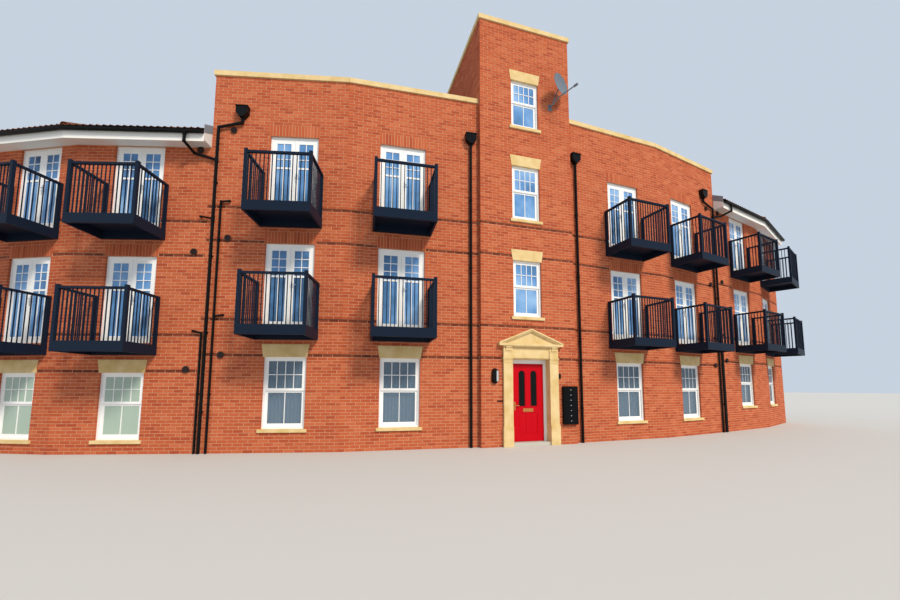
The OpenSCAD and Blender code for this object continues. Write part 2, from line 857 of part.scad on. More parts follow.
// Sunk margin round each light
module light_beads() {
  for (s = sides) translate([s * light_x, bead_d, 0]) rotate([90, 0, 0]) linear_extrude(bead_d + 1)
    difference() {
      offset(bead_out) round_headed(light_w, light_z0, light_z1);
      offset(bead_in) round_headed(light_w, light_z0, light_z1);
    }
}

module door_leaf() {
  color("crimson") on_leaf() difference() {
    block(0, door_w, 0, door_t, 0, door_h);
    light_shape(-1, door_t + 2);
    for (s = sides) difference() {
      block(s * light_x, panel_w, -1, panel_d + 1, panel_z0, panel_z1);
      raised_field(s * light_x);
    }
    light_beads();
  }
}

module door_glass() {
  color("lightblue", 0.5) on_leaf() light_shape(light_set, glass_t);
}

// Brass on the leaf: a letter plate with its flap, and a lever with a keyhole's cover on one plate
letter_w = 290;
letter_h = 85;
letter_z = 845;
handle_x = -door_w / 2 + 65;
handle_z = 915;
plate_t = 8;
plate_w = 45;
plate_up = 90;
plate_down = 120;
flap_rim = 14;
flap_t = 3;
lever_out = 40;
lever_bar = [120, 18, 20];
spindle_w = 20;
key_drop = 75;
key_cover_w = 22;
module door_furniture() {
  color("gold") on_leaf() {
    translate([0, 0, letter_z - door_z]) {
      block(0, letter_w, -plate_t, plate_t, 0, letter_h);
      block(0, letter_w - 2 * flap_rim, -plate_t - flap_t, flap_t, flap_rim, letter_h - flap_rim);
    }
    translate([handle_x, -plate_t, handle_z]) {
      block(0, plate_w, 0, plate_t, -plate_down, plate_up);
      rotate([90, 0, 0]) cylinder(h = lever_out, d = spindle_w);
      translate([-spindle_w / 2, -lever_out - 10, -spindle_w / 2]) cube(lever_bar);
      translate([0, 0, -key_drop]) rotate([90, 0, 0]) cylinder(h = 4, d = key_cover_w);
    }
  }
}

// Pipes run along a list of points, with a knuckle a little thicker than the pipe at each bend
knuckle = 1.15;
module pipe_leg(a, b, r) {
  v = b - a;
  run = norm([v[0], v[1]]);
  translate(a) rotate([0, atan2(run, v[2]), atan2(v[1], v[0])]) cylinder(h = norm(v), r = r);
}

module pipe_route(points, r) {
  for (k = [1:len(points) - 1]) pipe_leg(points[k - 1], points[k], r);
  if (len(points) > 2)
    for (k = [1:len(points) - 2]) translate(points[k]) sphere(r * knuckle);
}

// Rainwater pipes: two beside the tower and two beside the wings, held off the wall by brackets
pipe_r = 34;
pipe_y = -62;
bracket_step = 1800;
tower_pipe_s = 225;
wing_pipe_s = 3040;
tower_hopper_z = 7850;
wing_hopper_s = 2500;
wing_hopper_z = 7960;
neck_foot_z = 7700;
bracket_h = 40;
clip_t = 7;
module bracket(s, z, r) {
  translate([s, pipe_y, z]) cylinder(h = bracket_h, r = r + clip_t);
  block(s, 2 * r, pipe_y, -pipe_y - hairline, z + 5, z + bracket_h - 5);
}

module brackets(s, top, r) {
  for (z = [bracket_step / 2:bracket_step:top]) bracket(s, z, r);
}

// Outlet of the wing gutter, and its swan-neck back to the pipe in the corner
outlet_drop = 260;
neck_s = outlet_s - 40;
neck_wall_z = 7400;
neck_join_z = 7240;
function from_wing(s, y, z) = [bay_len[1] + s * cos(bay_turn[2]) - y * sin(bay_turn[2]),
  s * sin(bay_turn[2]) + y * cos(bay_turn[2]), z];
module gutter_neck(dz) {
  out = -eaves_out - gutter_r;
  pipe_route([from_wing(outlet_s, out, spigot_z + dz),
    from_wing(outlet_s, out, eaves_z - outlet_drop + dz), from_wing(neck_s, pipe_y, neck_wall_z + dz),
    [wing_pipe_s, pipe_y, neck_join_z + dz]], pipe_r);
}

// Waste from the wing's upper storey into the pipe in the corner
bath_z = 5840;
bath_s = 125;
bath_drop = 50;
bath_r = 22;
module bath_arm(dz) {
  pipe_route([from_wing(bath_s, -hairline, bath_z + dz), from_wing(bath_s, pipe_y, bath_z + dz),
    [wing_pipe_s, pipe_y, bath_z - bath_drop + dz]], bath_r);
}

// Sleeve round the corner pipe where another joins it
collar_h = 120;
module collar(z) {
  translate([wing_pipe_s, pipe_y, z - collar_h / 2]) cylinder(h = collar_h, r = pipe_r + clip_t);
}

module downpipes() {
  color("black") for (side = sides) {
    on_bay(side, 0) {
      pipe_route([[tower_pipe_s, pipe_y, 0], [tower_pipe_s, pipe_y, tower_hopper_z]], pipe_r);
      brackets(tower_pipe_s, tower_hopper_z, pipe_r);
    }
    on_bay(side, 1) {
      pipe_route([[wing_pipe_s, pipe_y, 0], [wing_pipe_s, pipe_y, neck_foot_z],
        [wing_hopper_s, pipe_y, neck_foot_z + 140], [wing_hopper_s, pipe_y, wing_hopper_z]], pipe_r);
      brackets(wing_pipe_s, neck_foot_z, pipe_r);
      gutter_neck(shift(side, 2));
      bath_arm(shift(side, 2));
      collar(neck_join_z + shift(side, 2));
      collar(bath_z - bath_drop + shift(side, 2));
    }
  }
}

// Square rainwater head: a box with a rim over a wedge that narrows to the pipe
hopper_w = 270;
hopper_h = 150;
hopper_wedge = 110;
hopper_d = 150;
rim = 12;
module hopper(s, z) {
  translate([s, 0, z]) {
    translate([0, -hairline, 0]) rotate([90, 0, 0]) linear_extrude(hopper_d - hairline)
      polygon([[-pipe_r - 12, 0], [pipe_r + 12, 0], [hopper_w / 2, hopper_wedge],
        [hopper_w / 2, hopper_wedge + hopper_h], [-hopper_w / 2, hopper_wedge + hopper_h],
        [-hopper_w / 2, hopper_wedge]]);
    block(0, hopper_w + 2 * rim, -hopper_d - rim, hopper_d + rim - hairline,
      hopper_wedge + hopper_h, hopper_wedge + hopper_h + 2 * rim);
  }
}

module rain_hoppers() {
  color("black") for (side = sides) {
    on_bay(side, 0) hopper(tower_pipe_s, tower_hopper_z);
    on_bay(side, 1) hopper(wing_hopper_s, wing_hopper_z);
  }
}

// Bulkhead lantern left of the entrance: a rounded hood with its lens on the right
lantern_x = 362;
lantern_z = 1565;
lantern_h = 385;
lantern_w = 185;
lantern_d = 95;
lantern_shell = 14;
lens_z = 55;
// Size of the hood's front against its back
lantern_taper = 0.86;
module lantern_body(w, h, d) {
  rotate([90, 0, 0]) linear_extrude(d, scale = lantern_taper) hull() for (s = sides)
    translate([0, s * (h - w) / 2]) circle(d = w, $fn = 32);
}

module on_lantern() {
  on_tower() translate([lantern_x, 0, lantern_z + lantern_h / 2]) children();
}

module lens_space(back) {
  translate([lantern_shell, -lantern_d, -lantern_h / 2 + lens_z])
    cube([lantern_w, lantern_d - back, lantern_h - 2 * lens_z]);
}

module wall_lantern() {
  color("black") on_lantern() difference() {
    lantern_body(lantern_w, lantern_h, lantern_d);
    translate([0, -1, 0]) lens_space(lantern_d / 2 - 1);
  }
}

module lantern_lens() {
  color("white") on_lantern() intersection() {
    lantern_body(lantern_w - 2 * lantern_shell, lantern_h, lantern_d - lantern_shell);
    lens_space(lantern_d / 2);
  }
}

// Post boxes right of the entrance: a frame round a column of numbered flaps
post_x = 2470;
post_w = 425;
post_d = 90;
post_z0 = 510;
post_z1 = 1500;
post_rows = 7;
post_rim = 25;
flap_gap = 6;
flap_out = 6;
module post_boxes() {
  row = (post_z1 - post_z0 - 2 * post_rim) / post_rows;
  flaps_w = post_w - 2 * post_rim;
  color("black") on_tower() {
    difference() {
      block(post_x, post_w, -post_d, post_d, post_z0, post_z1);
      block(post_x, flaps_w, -post_d - 1, flap_out + 1, post_z0 + post_rim, post_z1 - post_rim);
    }
    for (k = [0:post_rows - 1]) {
      z = post_z0 + post_rim + k * row;
      block(post_x, flaps_w - 2 * flap_gap, -post_d, flap_out, z + flap_gap / 2, z + row - flap_gap / 2);
    }
  }
}

// Round plastic vents on the front: a collar on the wall and a cap with slots held in front of it
vent_r = 75;
vent_d = 40;
collar_r = 62;
cap_t = 14;
slot_h = 10;
slot_step = 24;
slot_d = 8;
// Each vent's distance along its bay and height, in the second and third bay of each side
second_bay_vents = [[2700, 7660], [2700, 4970], [2700, 2210]];
third_bay_vents = [[240, 7500], [240, 4995], [240, 2250]];
module vent(s, z) {
  translate([s, -hairline, z]) {
    rotate([90, 0, 0]) cylinder(h = vent_d - cap_t + 1, r = collar_r);
    translate([0, cap_t - vent_d, 0]) difference() {
      rotate([90, 0, 0]) cylinder(h = cap_t, r = vent_r);
      for (k = [-2:2]) {
        half = sqrt(pow(collar_r, 2) - pow(k * slot_step, 2));
        block(0, 2 * half, -cap_t - 1, slot_d + 1, k * slot_step - slot_h / 2, k * slot_step + slot_h / 2);
      }
    }
  }
}

module wall_vents() {
  color("saddlebrown") for (side = sides) {
    on_bay(side, 1) for (p = second_bay_vents) vent(p[0], p[1]);
    on_bay(side, 2) for (p = third_bay_vents) vent(p[0], p[1] + shift(side, 2));
  }
}

// A plate left of the doorcase and a call box right of it: middle, width, depth, bottom and top
entrance_plate = [495, 155, 10, 1115, 1150];
call_box = [2187, 70, 30, 1700, 1820];
module entrance_fittings() {
  color("black") on_tower() for (p = [entrance_plate, call_box]) block(p[0], p[1], -p[2], p[2], p[3], p[4]);
}

// Waste pipes: one down each side's second bay and one near its corner, bent into the wall at the top
waste_r = 26;
waste_y = -45;
waste_s = 2890;
waste_top = 5870;
waste_low = 3130;
waste_drop = 30;
waste_wall_s = 2700;
corner_s = 3140;
corner_wall_s = 136;
arm_r = waste_r - 3;
waste_clip_h = 35;
lowest_clip = 1300;
module waste_clip(s, z) {
  translate([s, waste_y, z]) {
    cylinder(h = waste_clip_h, r = waste_r + 6);
    translate([-waste_r, 0, 5]) cube([2 * waste_r, -waste_y - hairline, waste_clip_h - 10]);
  }
}

module waste_pipes() {
  color("black") for (side = sides) on_bay(side, 1) {
    corner_top = waste_low - waste_drop + shift(side, 2);
    pipe_route([[waste_s, waste_y, 0], [waste_s, waste_y, waste_top]], waste_r);
    pipe_route([[waste_wall_s, -hairline, waste_top], [waste_wall_s, waste_y, waste_top],
      [waste_s, waste_y, waste_top - waste_drop]], arm_r);
    pipe_route([[waste_wall_s, -hairline, waste_low], [waste_wall_s, waste_y, waste_low],
      [waste_s, waste_y, waste_low - waste_drop]], arm_r);
    pipe_route([[corner_s, waste_y, 0], [corner_s, waste_y, corner_top]], waste_r);
    pipe_route([from_wing(corner_wall_s, -hairline, corner_top + waste_drop),
      from_wing(corner_wall_s, waste_y, corner_top + waste_drop),
      [corner_s, waste_y, corner_top - 20]], arm_r);
    for (z = [lowest_clip:bracket_step:waste_top]) waste_clip(waste_s, z);
    waste_clip(corner_s, lowest_clip);
  }
}

// Satellite dish on a bent arm from a wall plate, with its feed at the end of the arm
dish_r = 300;
dish_depth = 60;
dish_t = 6;
dish_plate = [2090, 0, 9310];
dish_elbow = [2100, -120, 9320];
dish_knee = [2235, -330, 9470];
dish_centre = [2250, -350, 9820];
dish_feed = [2510, -720, 9590];
dish_turn = [0, 85, -65];
dish_steps = 6;
wall_plate = [110, 12, 180];
arm_rod_r = 16;
stay_r = 14;
feed_r = 32;
feed_h = 110;
feed_back = 80;
function bowl_point(k, lift) = let (part = k / dish_steps) [dish_r * part, dish_depth * part * part + lift];
module dish_bowl() {
  rotate_extrude($fn = 48) polygon(concat([for (k = [0:dish_steps]) bowl_point(k, -dish_depth)],
    [for (k = [dish_steps:-1:0]) bowl_point(k, dish_t - dish_depth)]));
}

module satellite_dish() {
  color("gray") on_tower() {
    block(dish_plate[0], wall_plate[0], -wall_plate[1], wall_plate[1], dish_plate[2] - wall_plate[2] / 2,
      dish_plate[2] + wall_plate[2] / 2);
    pipe_route([dish_plate - [0, 8, 0], dish_elbow, dish_knee, dish_feed], arm_rod_r);
    translate(dish_feed) rotate(dish_turn) translate([0, 0, -feed_back]) cylinder(h = feed_h, r = feed_r);
    translate(dish_centre) rotate(dish_turn) dish_bowl();
    pipe_route([dish_elbow, [dish_knee[0], -260, dish_centre[2] - 60], dish_centre - [25, -55, 5]], stay_r);
  }
}

tower_pier(-tower_w / 2, door_mid - doorway_w / 2);  // tower_left_pier
tower_pier(door_mid + doorway_w / 2, tower_w / 2);  // tower_right_pier
tower_front_wall();
tower_upper_walls();
front_wall(0);  // front_walls_1
front_wall(1);  // front_walls_2
front_wall(2);  // front_walls_3
front_wall(3);  // front_walls_4
rear_wall_middle();
rear_wall(0);  // rear_walls_1
rear_wall(1);  // rear_walls_2
rear_wall(2);  // rear_walls_3
rear_wall(3);  // rear_walls_4
cross_walls();
party_walls();
ground_floor();
upper_floor(1);  // first_floor
upper_floor(2);  // second_floor
wing_ceilings();
roof_deck();
tower_roof();
wing_roofs();
parapet_copings();
tower_coping();
eaves_boxes();
gutters();
window_lintels();
window_sills();
front_windows();
rear_windows();
ground_window_glass();
tower_window_glass();
rear_window_glass();
balcony_doors();
balcony_door_glass();
balcony_door_handles();
balcony_decks();
balcony_front_railings();
balcony_side_railings();
doorcase_pilasters();
doorcase_head();
door_frame();
door_threshold();
door_leaf();
door_glass();
door_furniture();
downpipes();
rain_hoppers();
wall_lantern();
lantern_lens();
post_boxes();
wall_vents();
entrance_fittings();
waste_pipes();
satellite_dish();
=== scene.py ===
"""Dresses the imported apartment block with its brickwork, roof tiles, window bars, curtains and finishes."""

import math
from dataclasses import dataclass, field
from typing import Callable, Optional

import bmesh
import bpy
from bpy.props import FloatProperty, FloatVectorProperty, IntProperty, PointerProperty
from bpy.types import Operator, Panel, PropertyGroup
from mathutils import Matrix, Vector


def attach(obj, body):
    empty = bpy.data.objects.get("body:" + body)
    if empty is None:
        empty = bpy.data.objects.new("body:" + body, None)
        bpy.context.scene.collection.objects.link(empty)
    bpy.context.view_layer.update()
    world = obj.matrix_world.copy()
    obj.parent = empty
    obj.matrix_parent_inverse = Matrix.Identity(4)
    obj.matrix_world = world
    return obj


bl_info = {
    "name": "Apartment block finishes",
    "version": (1, 0, 0),
    "blender": (4, 5, 0),
    "location": "View3D > Sidebar > Apartment Block",
    "description": "Lays the bricks and tiles of a three-storey apartment block and finishes its parts",
    "category": "Object",
}

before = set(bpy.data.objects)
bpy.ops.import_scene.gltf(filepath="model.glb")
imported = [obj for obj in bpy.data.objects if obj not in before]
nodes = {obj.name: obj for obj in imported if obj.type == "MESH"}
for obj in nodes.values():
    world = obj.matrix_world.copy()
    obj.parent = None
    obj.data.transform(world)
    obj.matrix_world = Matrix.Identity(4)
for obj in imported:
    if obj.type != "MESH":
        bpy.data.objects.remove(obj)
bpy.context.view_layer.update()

LEFT, RIGHT = -1, 1
SIDES = {LEFT: "left", RIGHT: "right"}
BAYS = range(4)
MIDDLE_BAYS = 2
MM = 0.001


def linear(colour):
    """An sRGB hex colour as linear red, green, blue and alpha. A colour in another form stays as it is."""
    if not isinstance(colour, str):
        return colour
    channels = [int(colour[place:place + 2], 16) / 255 for place in (1, 3, 5)]
    return [c / 12.92 if c <= 0.04045 else ((c + 0.055) / 1.055) ** 2.4 for c in channels] + [1.0]


def length_setting(name, description, default):
    return FloatProperty(name=name, description=description, default=default, unit="LENGTH")


def angle_setting(name, description, degrees):
    return FloatProperty(name=name, description=description, default=math.radians(degrees), unit="ROTATION")


def vector_setting(name, description, default, **options):
    size = len(default)
    return FloatVectorProperty(name=name, description=description, default=default, size=size, **options)


def colour_setting(name, description, default):
    return vector_setting(name, description, linear(default), subtype="COLOR", min=0, max=1)


class PlanSettings(PropertyGroup):
    """Where the walls stand and how high they are."""

    tower_width: length_setting("Tower width", "Width of the stair tower", 2.7)
    tower_step: length_setting("Tower step", "How far the tower stands in front of the bays", 0.15)
    tower_depth: length_setting("Tower depth", "Depth of the tower above the flat roof", 5.4)
    tower_top: length_setting("Tower top", "Top of the tower's brickwork", 11.475)
    block_depth: length_setting("Block depth", "Depth from front face to rear face", 9.0)
    bay_lengths: vector_setting(
        "Bay lengths", "Front of each bay, from the tower outwards", (3.35, 3.2, 3.1, 3.1), unit="LENGTH"
    )
    bay_turns: vector_setting(
        "Bay turns", "How far each bay turns back from the one before it",
        [math.radians(turn) for turn in (4, 9, 2, 10.5)], subtype="EULER", unit="ROTATION",
    )
    bay_middles: vector_setting(
        "Openings", "Middle of each bay's openings, from its inner end",
        (1.98, 1.27, 1.65, 1.0), unit="LENGTH",
    )
    left_lift: length_setting("Left wing", "How far the left wing lies above the middle", -0.375)
    right_lift: length_setting("Right wing", "How far the right wing lies above the middle", 0.15)
    first_floor: length_setting("First floor", "Top of the first floor in the middle", 2.85)
    storey: length_setting("Storey", "Height from floor to floor", 2.7)
    parapet_top: length_setting("Parapet top", "Top of the parapet's brickwork", 9.075)
    deck_top: length_setting("Flat roof", "Top of the flat roof", 8.25)
    wall_thickness: length_setting("Wall thickness", "Thickness of the outer walls", 0.3)
    cross_thickness: length_setting("Cross wall thickness", "Thickness of the walls beside the wings", 0.225)
    eaves_height: length_setting("Eaves", "Height of the roof's underside at its lower edge", 7.75)
    soffit_height: length_setting("Soffit", "Underside of the eaves", 7.58)
    eaves_reach: length_setting("Eaves reach", "How far the eaves stand out from the wall", 0.35)
    roof_thickness: length_setting("Roof thickness", "Thickness of the wing roofs, measured upwards", 0.06)
    roof_pitch: angle_setting("Roof pitch", "Slope of the wing roofs", 27.5)


class OpeningSettings(PropertyGroup):
    """Windows and doors in the brickwork. Each glass's depth is measured from the brick face."""

    window_width: length_setting("Window width", "Width of the ground-floor windows", 0.97)
    window_sill: length_setting("Window sill", "Bottom of the ground-floor windows in the middle", 0.525)
    wing_sill: length_setting("Wing sill", "Bottom of the ground-floor windows in the wings", 0.675)
    window_head: length_setting("Window head", "Top of the ground-floor windows", 2.175)
    tower_window_width: length_setting("Tower window width", "Width of the tower's windows", 0.82)
    tower_window_offset: length_setting("Tower window place", "Their middle from the tower's middle", -0.04)
    tower_sills: vector_setting(
        "Tower sills", "Bottoms of the tower's windows", (3.3, 5.925, 8.55), unit="LENGTH"
    )
    tower_heads: vector_setting(
        "Tower heads", "Tops of the tower's windows", (4.8, 7.425, 9.9), unit="LENGTH"
    )
    doorway_width: length_setting("Doorway width", "Width of the opening behind the doorcase", 1.1)
    doorway_head: length_setting("Doorway head", "Top of the opening behind the doorcase", 2.22)
    doorway_offset: length_setting("Doorway place", "Middle of the doorway from the tower's middle", 0.005)
    rear_window_width: length_setting("Rear window width", "Width of the rear windows", 1.0)
    rear_sills: vector_setting(
        "Rear sills", "Bottoms of the rear windows", (0.675, 3.45, 6.15), unit="LENGTH"
    )
    rear_window_height: length_setting("Rear window height", "Height of the rear windows", 1.125)
    door_width: length_setting("Balcony door width", "Width of the balcony doors", 1.15)
    door_height: length_setting("Balcony door height", "Height of the balcony doors", 2.025)
    lintel_height: length_setting("Lintel height", "Height of the stone lintels", 0.29)
    sill_height: length_setting("Sill height", "Height of the stone sills", 0.075)
    sill_ends: length_setting("Sill ends", "How far a sill runs past its window", 0.06)
    bar_width: length_setting("Bar width", "Width of the thin bars on the glass", 0.017)
    bar_depth: length_setting("Bar depth", "How far the thin bars stand in front of the glass", 0.012)
    upper_glass_depth: length_setting("Upper glass", "Depth of an upper sash's glass", 0.07)
    lower_glass_depth: length_setting("Lower glass", "Depth of a lower sash's glass", 0.098)
    door_glass_depth: length_setting("Door glass", "Depth of the balcony doors' glass", 0.072)


class BrickSettings(PropertyGroup):
    """Size and colours of the facing bricks."""

    length: length_setting("Length", "Length of a brick", 0.213)
    height: length_setting("Height", "Height of a brick", 0.063)
    joint: length_setting("Joint", "Mortar joint between bricks", 0.012)
    proud: length_setting("Proud", "How far a brick's face stands in front of its mortar", 0.003)
    embed: length_setting("Embed", "How far a brick reaches into the wall", 0.008)
    unevenness: length_setting("Unevenness", "How far bricks wander from their line", 0.0008)
    dark: colour_setting("Dark brick", "Colour of the darkest bricks", "#A54C30")
    middle: colour_setting("Brick", "Colour of most bricks", "#B75C39")
    light: colour_setting("Light brick", "Colour of the palest bricks", "#C26B46")
    mortar: colour_setting("Mortar", "Colour of the mortar", "#C79577")
    seed: IntProperty(name="Seed", description="Draws the colour of each brick", default=7)


class TileSettings(PropertyGroup):
    """Size and colour of the roof tiles."""

    cover: length_setting("Cover", "Width that a tile covers", 0.3)
    gauge: length_setting("Gauge", "Length of slope that a row of tiles covers", 0.345)
    lap: length_setting("Lap", "How far a tile lies over the row below", 0.075)
    oversail: length_setting("Oversail", "How far the lowest tiles reach over the gutter", 0.05)
    thickness: length_setting("Thickness", "Thickness of a tile", 0.014)
    roll: length_setting("Roll", "Height of a tile's two rolls", 0.02)
    ridge_radius: length_setting("Ridge radius", "Radius of the ridge and hip tiles", 0.11)
    dark: colour_setting("Dark tile", "Colour of the darkest tiles", "#4A2F24")
    light: colour_setting("Light tile", "Colour of the palest tiles", "#7A4E3A")
    seed: IntProperty(name="Seed", description="Draws the colour of each tile", default=11)


class CameraSettings(PropertyGroup):
    """Where the picture is taken from."""

    place: vector_setting(
        "Place", "Where the camera stands", (-4.884, -14.215, 1.449), subtype="XYZ", unit="LENGTH"
    )
    focal_length: FloatProperty(
        name="Focal length", description="Millimetres on a 36 mm wide sensor", default=16.606
    )
    pitch: angle_setting("Pitch", "How far the camera looks up", 5.93)
    turn: angle_setting("Turn", "How far the camera is turned to the right", 17.45)
    shift: vector_setting("Shift", "Shift of the lens", (-0.0142, 0.0502))


def settings(name):
    """One of the property groups of this script, by its short name."""
    return getattr(bpy.context.scene, "block_" + name)


# Nodes of shaders and of geometry


def add_node(tree, kind, inputs=None, **options):
    """Adds one node, with its options set and its inputs linked or given a value."""
    node = tree.nodes.new(kind)
    for option, value in options.items():
        setattr(node, option, value)
    for name, value in (inputs or {}).items():
        if isinstance(value, bpy.types.NodeSocket):
            tree.links.new(value, node.inputs[name])
        else:
            node.inputs[name].default_value = value
    return node


def finish_material(name, colour, roughness, **inputs):
    """A material with one colour and roughness. Other shader inputs are named with underlines for spaces."""
    material = bpy.data.materials.new(name)
    material.use_nodes = True
    shader = material.node_tree.nodes["Principled BSDF"]
    shader.inputs["Base Color"].default_value = linear(colour)
    shader.inputs["Roughness"].default_value = roughness
    for key, value in inputs.items():
        shader.inputs[key.replace("_", " ")].default_value = value
    return material


# Patches of colour: their detail, the part of the noise that they use, and how far they shade a piece's tone
PATCH_DETAIL = 4.0
PATCH_RANGE = (0.3, 0.7)
PATCH_SHADE = 0.3
# Grit on a surface. Real grit of 1 or 2 mm wouldn't show, so it is drawn a quarter as wide as the patches
GRIT_FINENESS = 4
GRIT_DETAIL = 3.0
GRIT_STRENGTH = 0.6


def mottle(material, colours, grain, relief, tone=False):
    """Gives a material patches of a real size, in the colours given, and a rough surface.

    With tone, each piece's own tone sets its colour and the patches only shade it.
    """
    tree = material.node_tree
    shader = tree.nodes["Principled BSDF"]
    place = add_node(tree, "ShaderNodeTexCoord").outputs["Object"]
    noise = add_node(tree, "ShaderNodeTexNoise",
                     {"Vector": place, "Scale": 1 / grain, "Detail": PATCH_DETAIL})
    factor = noise.outputs["Fac"]
    low, high = PATCH_RANGE
    if tone:
        low, high = 0.0, 1.0
        drawn = add_node(tree, "ShaderNodeAttribute", attribute_name="tone").outputs["Fac"]
        shade = add_node(tree, "ShaderNodeMath", {0: factor, 1: PATCH_SHADE, 2: -PATCH_SHADE / 2},
                         operation="MULTIPLY_ADD")
        factor = add_node(tree, "ShaderNodeMath", {0: drawn, 1: shade.outputs[0]}, operation="ADD").outputs[0]
    ramp = add_node(tree, "ShaderNodeValToRGB", {"Fac": factor})
    steps = ramp.color_ramp.elements
    colours = [linear(colour) for colour in colours]
    steps[0].position, steps[0].color = low, colours[0]
    steps[1].position, steps[1].color = high, colours[-1]
    for number, colour in enumerate(colours[1:-1], 1):
        steps.new(low + (high - low) * number / (len(colours) - 1)).color = colour
    tree.links.new(ramp.outputs["Color"], shader.inputs["Base Color"])
    if relief:
        fine = add_node(tree, "ShaderNodeTexNoise",
                        {"Vector": place, "Scale": GRIT_FINENESS / grain, "Detail": GRIT_DETAIL})
        bump = add_node(tree, "ShaderNodeBump",
                        {"Height": fine.outputs["Fac"], "Distance": relief, "Strength": GRIT_STRENGTH})
        tree.links.new(bump.outputs["Normal"], shader.inputs["Normal"])
    return material


def copies_tree():
    """Geometry nodes that put a turned and sized copy of a shape on each point, with a tone of its own."""
    tree = bpy.data.node_groups.new("Set out copies", "GeometryNodeTree")
    sockets = {
        "Points": "NodeSocketGeometry", "Shape": "NodeSocketObject", "Material": "NodeSocketMaterial",
        "Unevenness": "NodeSocketFloat", "Seed": "NodeSocketInt",
    }
    for name, kind in sockets.items():
        tree.interface.new_socket(name, in_out="INPUT", socket_type=kind)
    tree.interface.new_socket("Copies", in_out="OUTPUT", socket_type="NodeSocketGeometry")
    given = add_node(tree, "NodeGroupInput").outputs
    wander = add_node(tree, "FunctionNodeRandomValue", {0: (-1, -1, 0), 1: (1, 1, 1), "Seed": given["Seed"]},
                      data_type="FLOAT_VECTOR")
    offset = add_node(tree, "ShaderNodeVectorMath", {0: wander.outputs[0], "Scale": given["Unevenness"]},
                      operation="SCALE")
    moved = add_node(tree, "GeometryNodeSetPosition",
                     {"Geometry": given["Points"], "Offset": offset.outputs[0]})
    tone = add_node(tree, "FunctionNodeRandomValue", {"Seed": given["Seed"]}, data_type="FLOAT")
    toned = add_node(tree, "GeometryNodeStoreNamedAttribute",
                     {"Geometry": moved.outputs[0], "Name": "tone", "Value": tone.outputs[1]},
                     data_type="FLOAT")
    turn = add_node(tree, "GeometryNodeInputNamedAttribute", {"Name": "turn"}, data_type="FLOAT_VECTOR")
    rotation = add_node(tree, "FunctionNodeEulerToRotation", {0: turn.outputs[0]})
    size = add_node(tree, "GeometryNodeInputNamedAttribute", {"Name": "size"}, data_type="FLOAT_VECTOR")
    shape = add_node(tree, "GeometryNodeObjectInfo", {"Object": given["Shape"]})
    copies = add_node(tree, "GeometryNodeInstanceOnPoints", {
        "Points": toned.outputs[0], "Instance": shape.outputs["Geometry"],
        "Rotation": rotation.outputs[0], "Scale": size.outputs[0],
    })
    result = add_node(tree, "GeometryNodeRealizeInstances", {"Geometry": copies.outputs[0]})
    for name in ("turn", "size"):
        result = add_node(tree, "GeometryNodeRemoveAttribute", {"Geometry": result.outputs[0], "Name": name})
    result = add_node(tree, "GeometryNodeSetMaterial",
                      {"Geometry": result.outputs[0], "Material": given["Material"]})
    add_node(tree, "NodeGroupOutput", {"Copies": result.outputs[0]})
    return tree


# Shapes and pieces


def directions(turn):
    """Directions along a wall's face and into the wall, for the wall's turn about the upright axis."""
    return Vector((math.cos(turn), math.sin(turn))), Vector((-math.sin(turn), math.cos(turn)))


def link_mesh(name, mesh, *materials):
    """A new object at the origin for a mesh, with its materials."""
    for material in materials:
        mesh.materials.append(material)
    piece = bpy.data.objects.new(name, mesh)
    bpy.context.scene.collection.objects.link(piece)
    return piece


def link_shape(name, shape, *materials):
    """A new object at the origin for a bmesh, which is freed."""
    mesh = bpy.data.meshes.new(name)
    shape.to_mesh(mesh)
    shape.free()
    return link_mesh(name, mesh, *materials)


def box_shape():
    """A box one unit each way, round its own middle."""
    shape = bmesh.new()
    bmesh.ops.create_cube(shape, size=1.0)
    return link_shape("Box shape", shape)


def closed_shape(name, vertices, faces):
    """A new object from the faces that close a shape, all turned outwards."""
    mesh = bpy.data.meshes.new(name)
    mesh.from_pydata(vertices, [], faces)
    shape = bmesh.new()
    shape.from_mesh(mesh)
    bpy.data.meshes.remove(mesh)
    bmesh.ops.recalc_face_normals(shape, faces=shape.faces)
    return link_shape(name, shape)


def prisms(name, pairs, material):
    """One object from closed shapes, each between two outlines of equally many points."""
    shape = bmesh.new()
    for pair in pairs:
        near, far = [[shape.verts.new(point) for point in outline] for outline in pair]
        shape.faces.new(near)
        shape.faces.new(far)
        for number, corner in enumerate(near):
            after = (number + 1) % len(near)
            shape.faces.new((corner, near[after], far[after], far[number]))
    bmesh.ops.recalc_face_normals(shape, faces=shape.faces)
    return link_shape(name, shape, material)


def join(name, pieces):
    """Joins meshes at the origin into one object with a new name and the first one's materials."""
    shape = bmesh.new()
    materials = list(pieces[0].data.materials)
    for piece in pieces:
        shape.from_mesh(piece.data)
        bpy.data.objects.remove(piece)
    return link_shape(name, shape, *materials)


def cut_ends(piece, cuts):
    """Cuts a mesh off at upright planes, each given by a point and the direction that is cut away."""
    shape = bmesh.new()
    shape.from_mesh(piece.data)
    for point, away in cuts:
        everything = shape.verts[:] + shape.edges[:] + shape.faces[:]
        result = bmesh.ops.bisect_plane(shape, geom=everything, plane_co=point, plane_no=away,
                                        clear_outer=True)
        edges = [item for item in result["geom_cut"] if isinstance(item, bmesh.types.BMEdge)]
        bmesh.ops.holes_fill(shape, edges=edges, sides=0)
    shape.to_mesh(piece.data)
    shape.free()


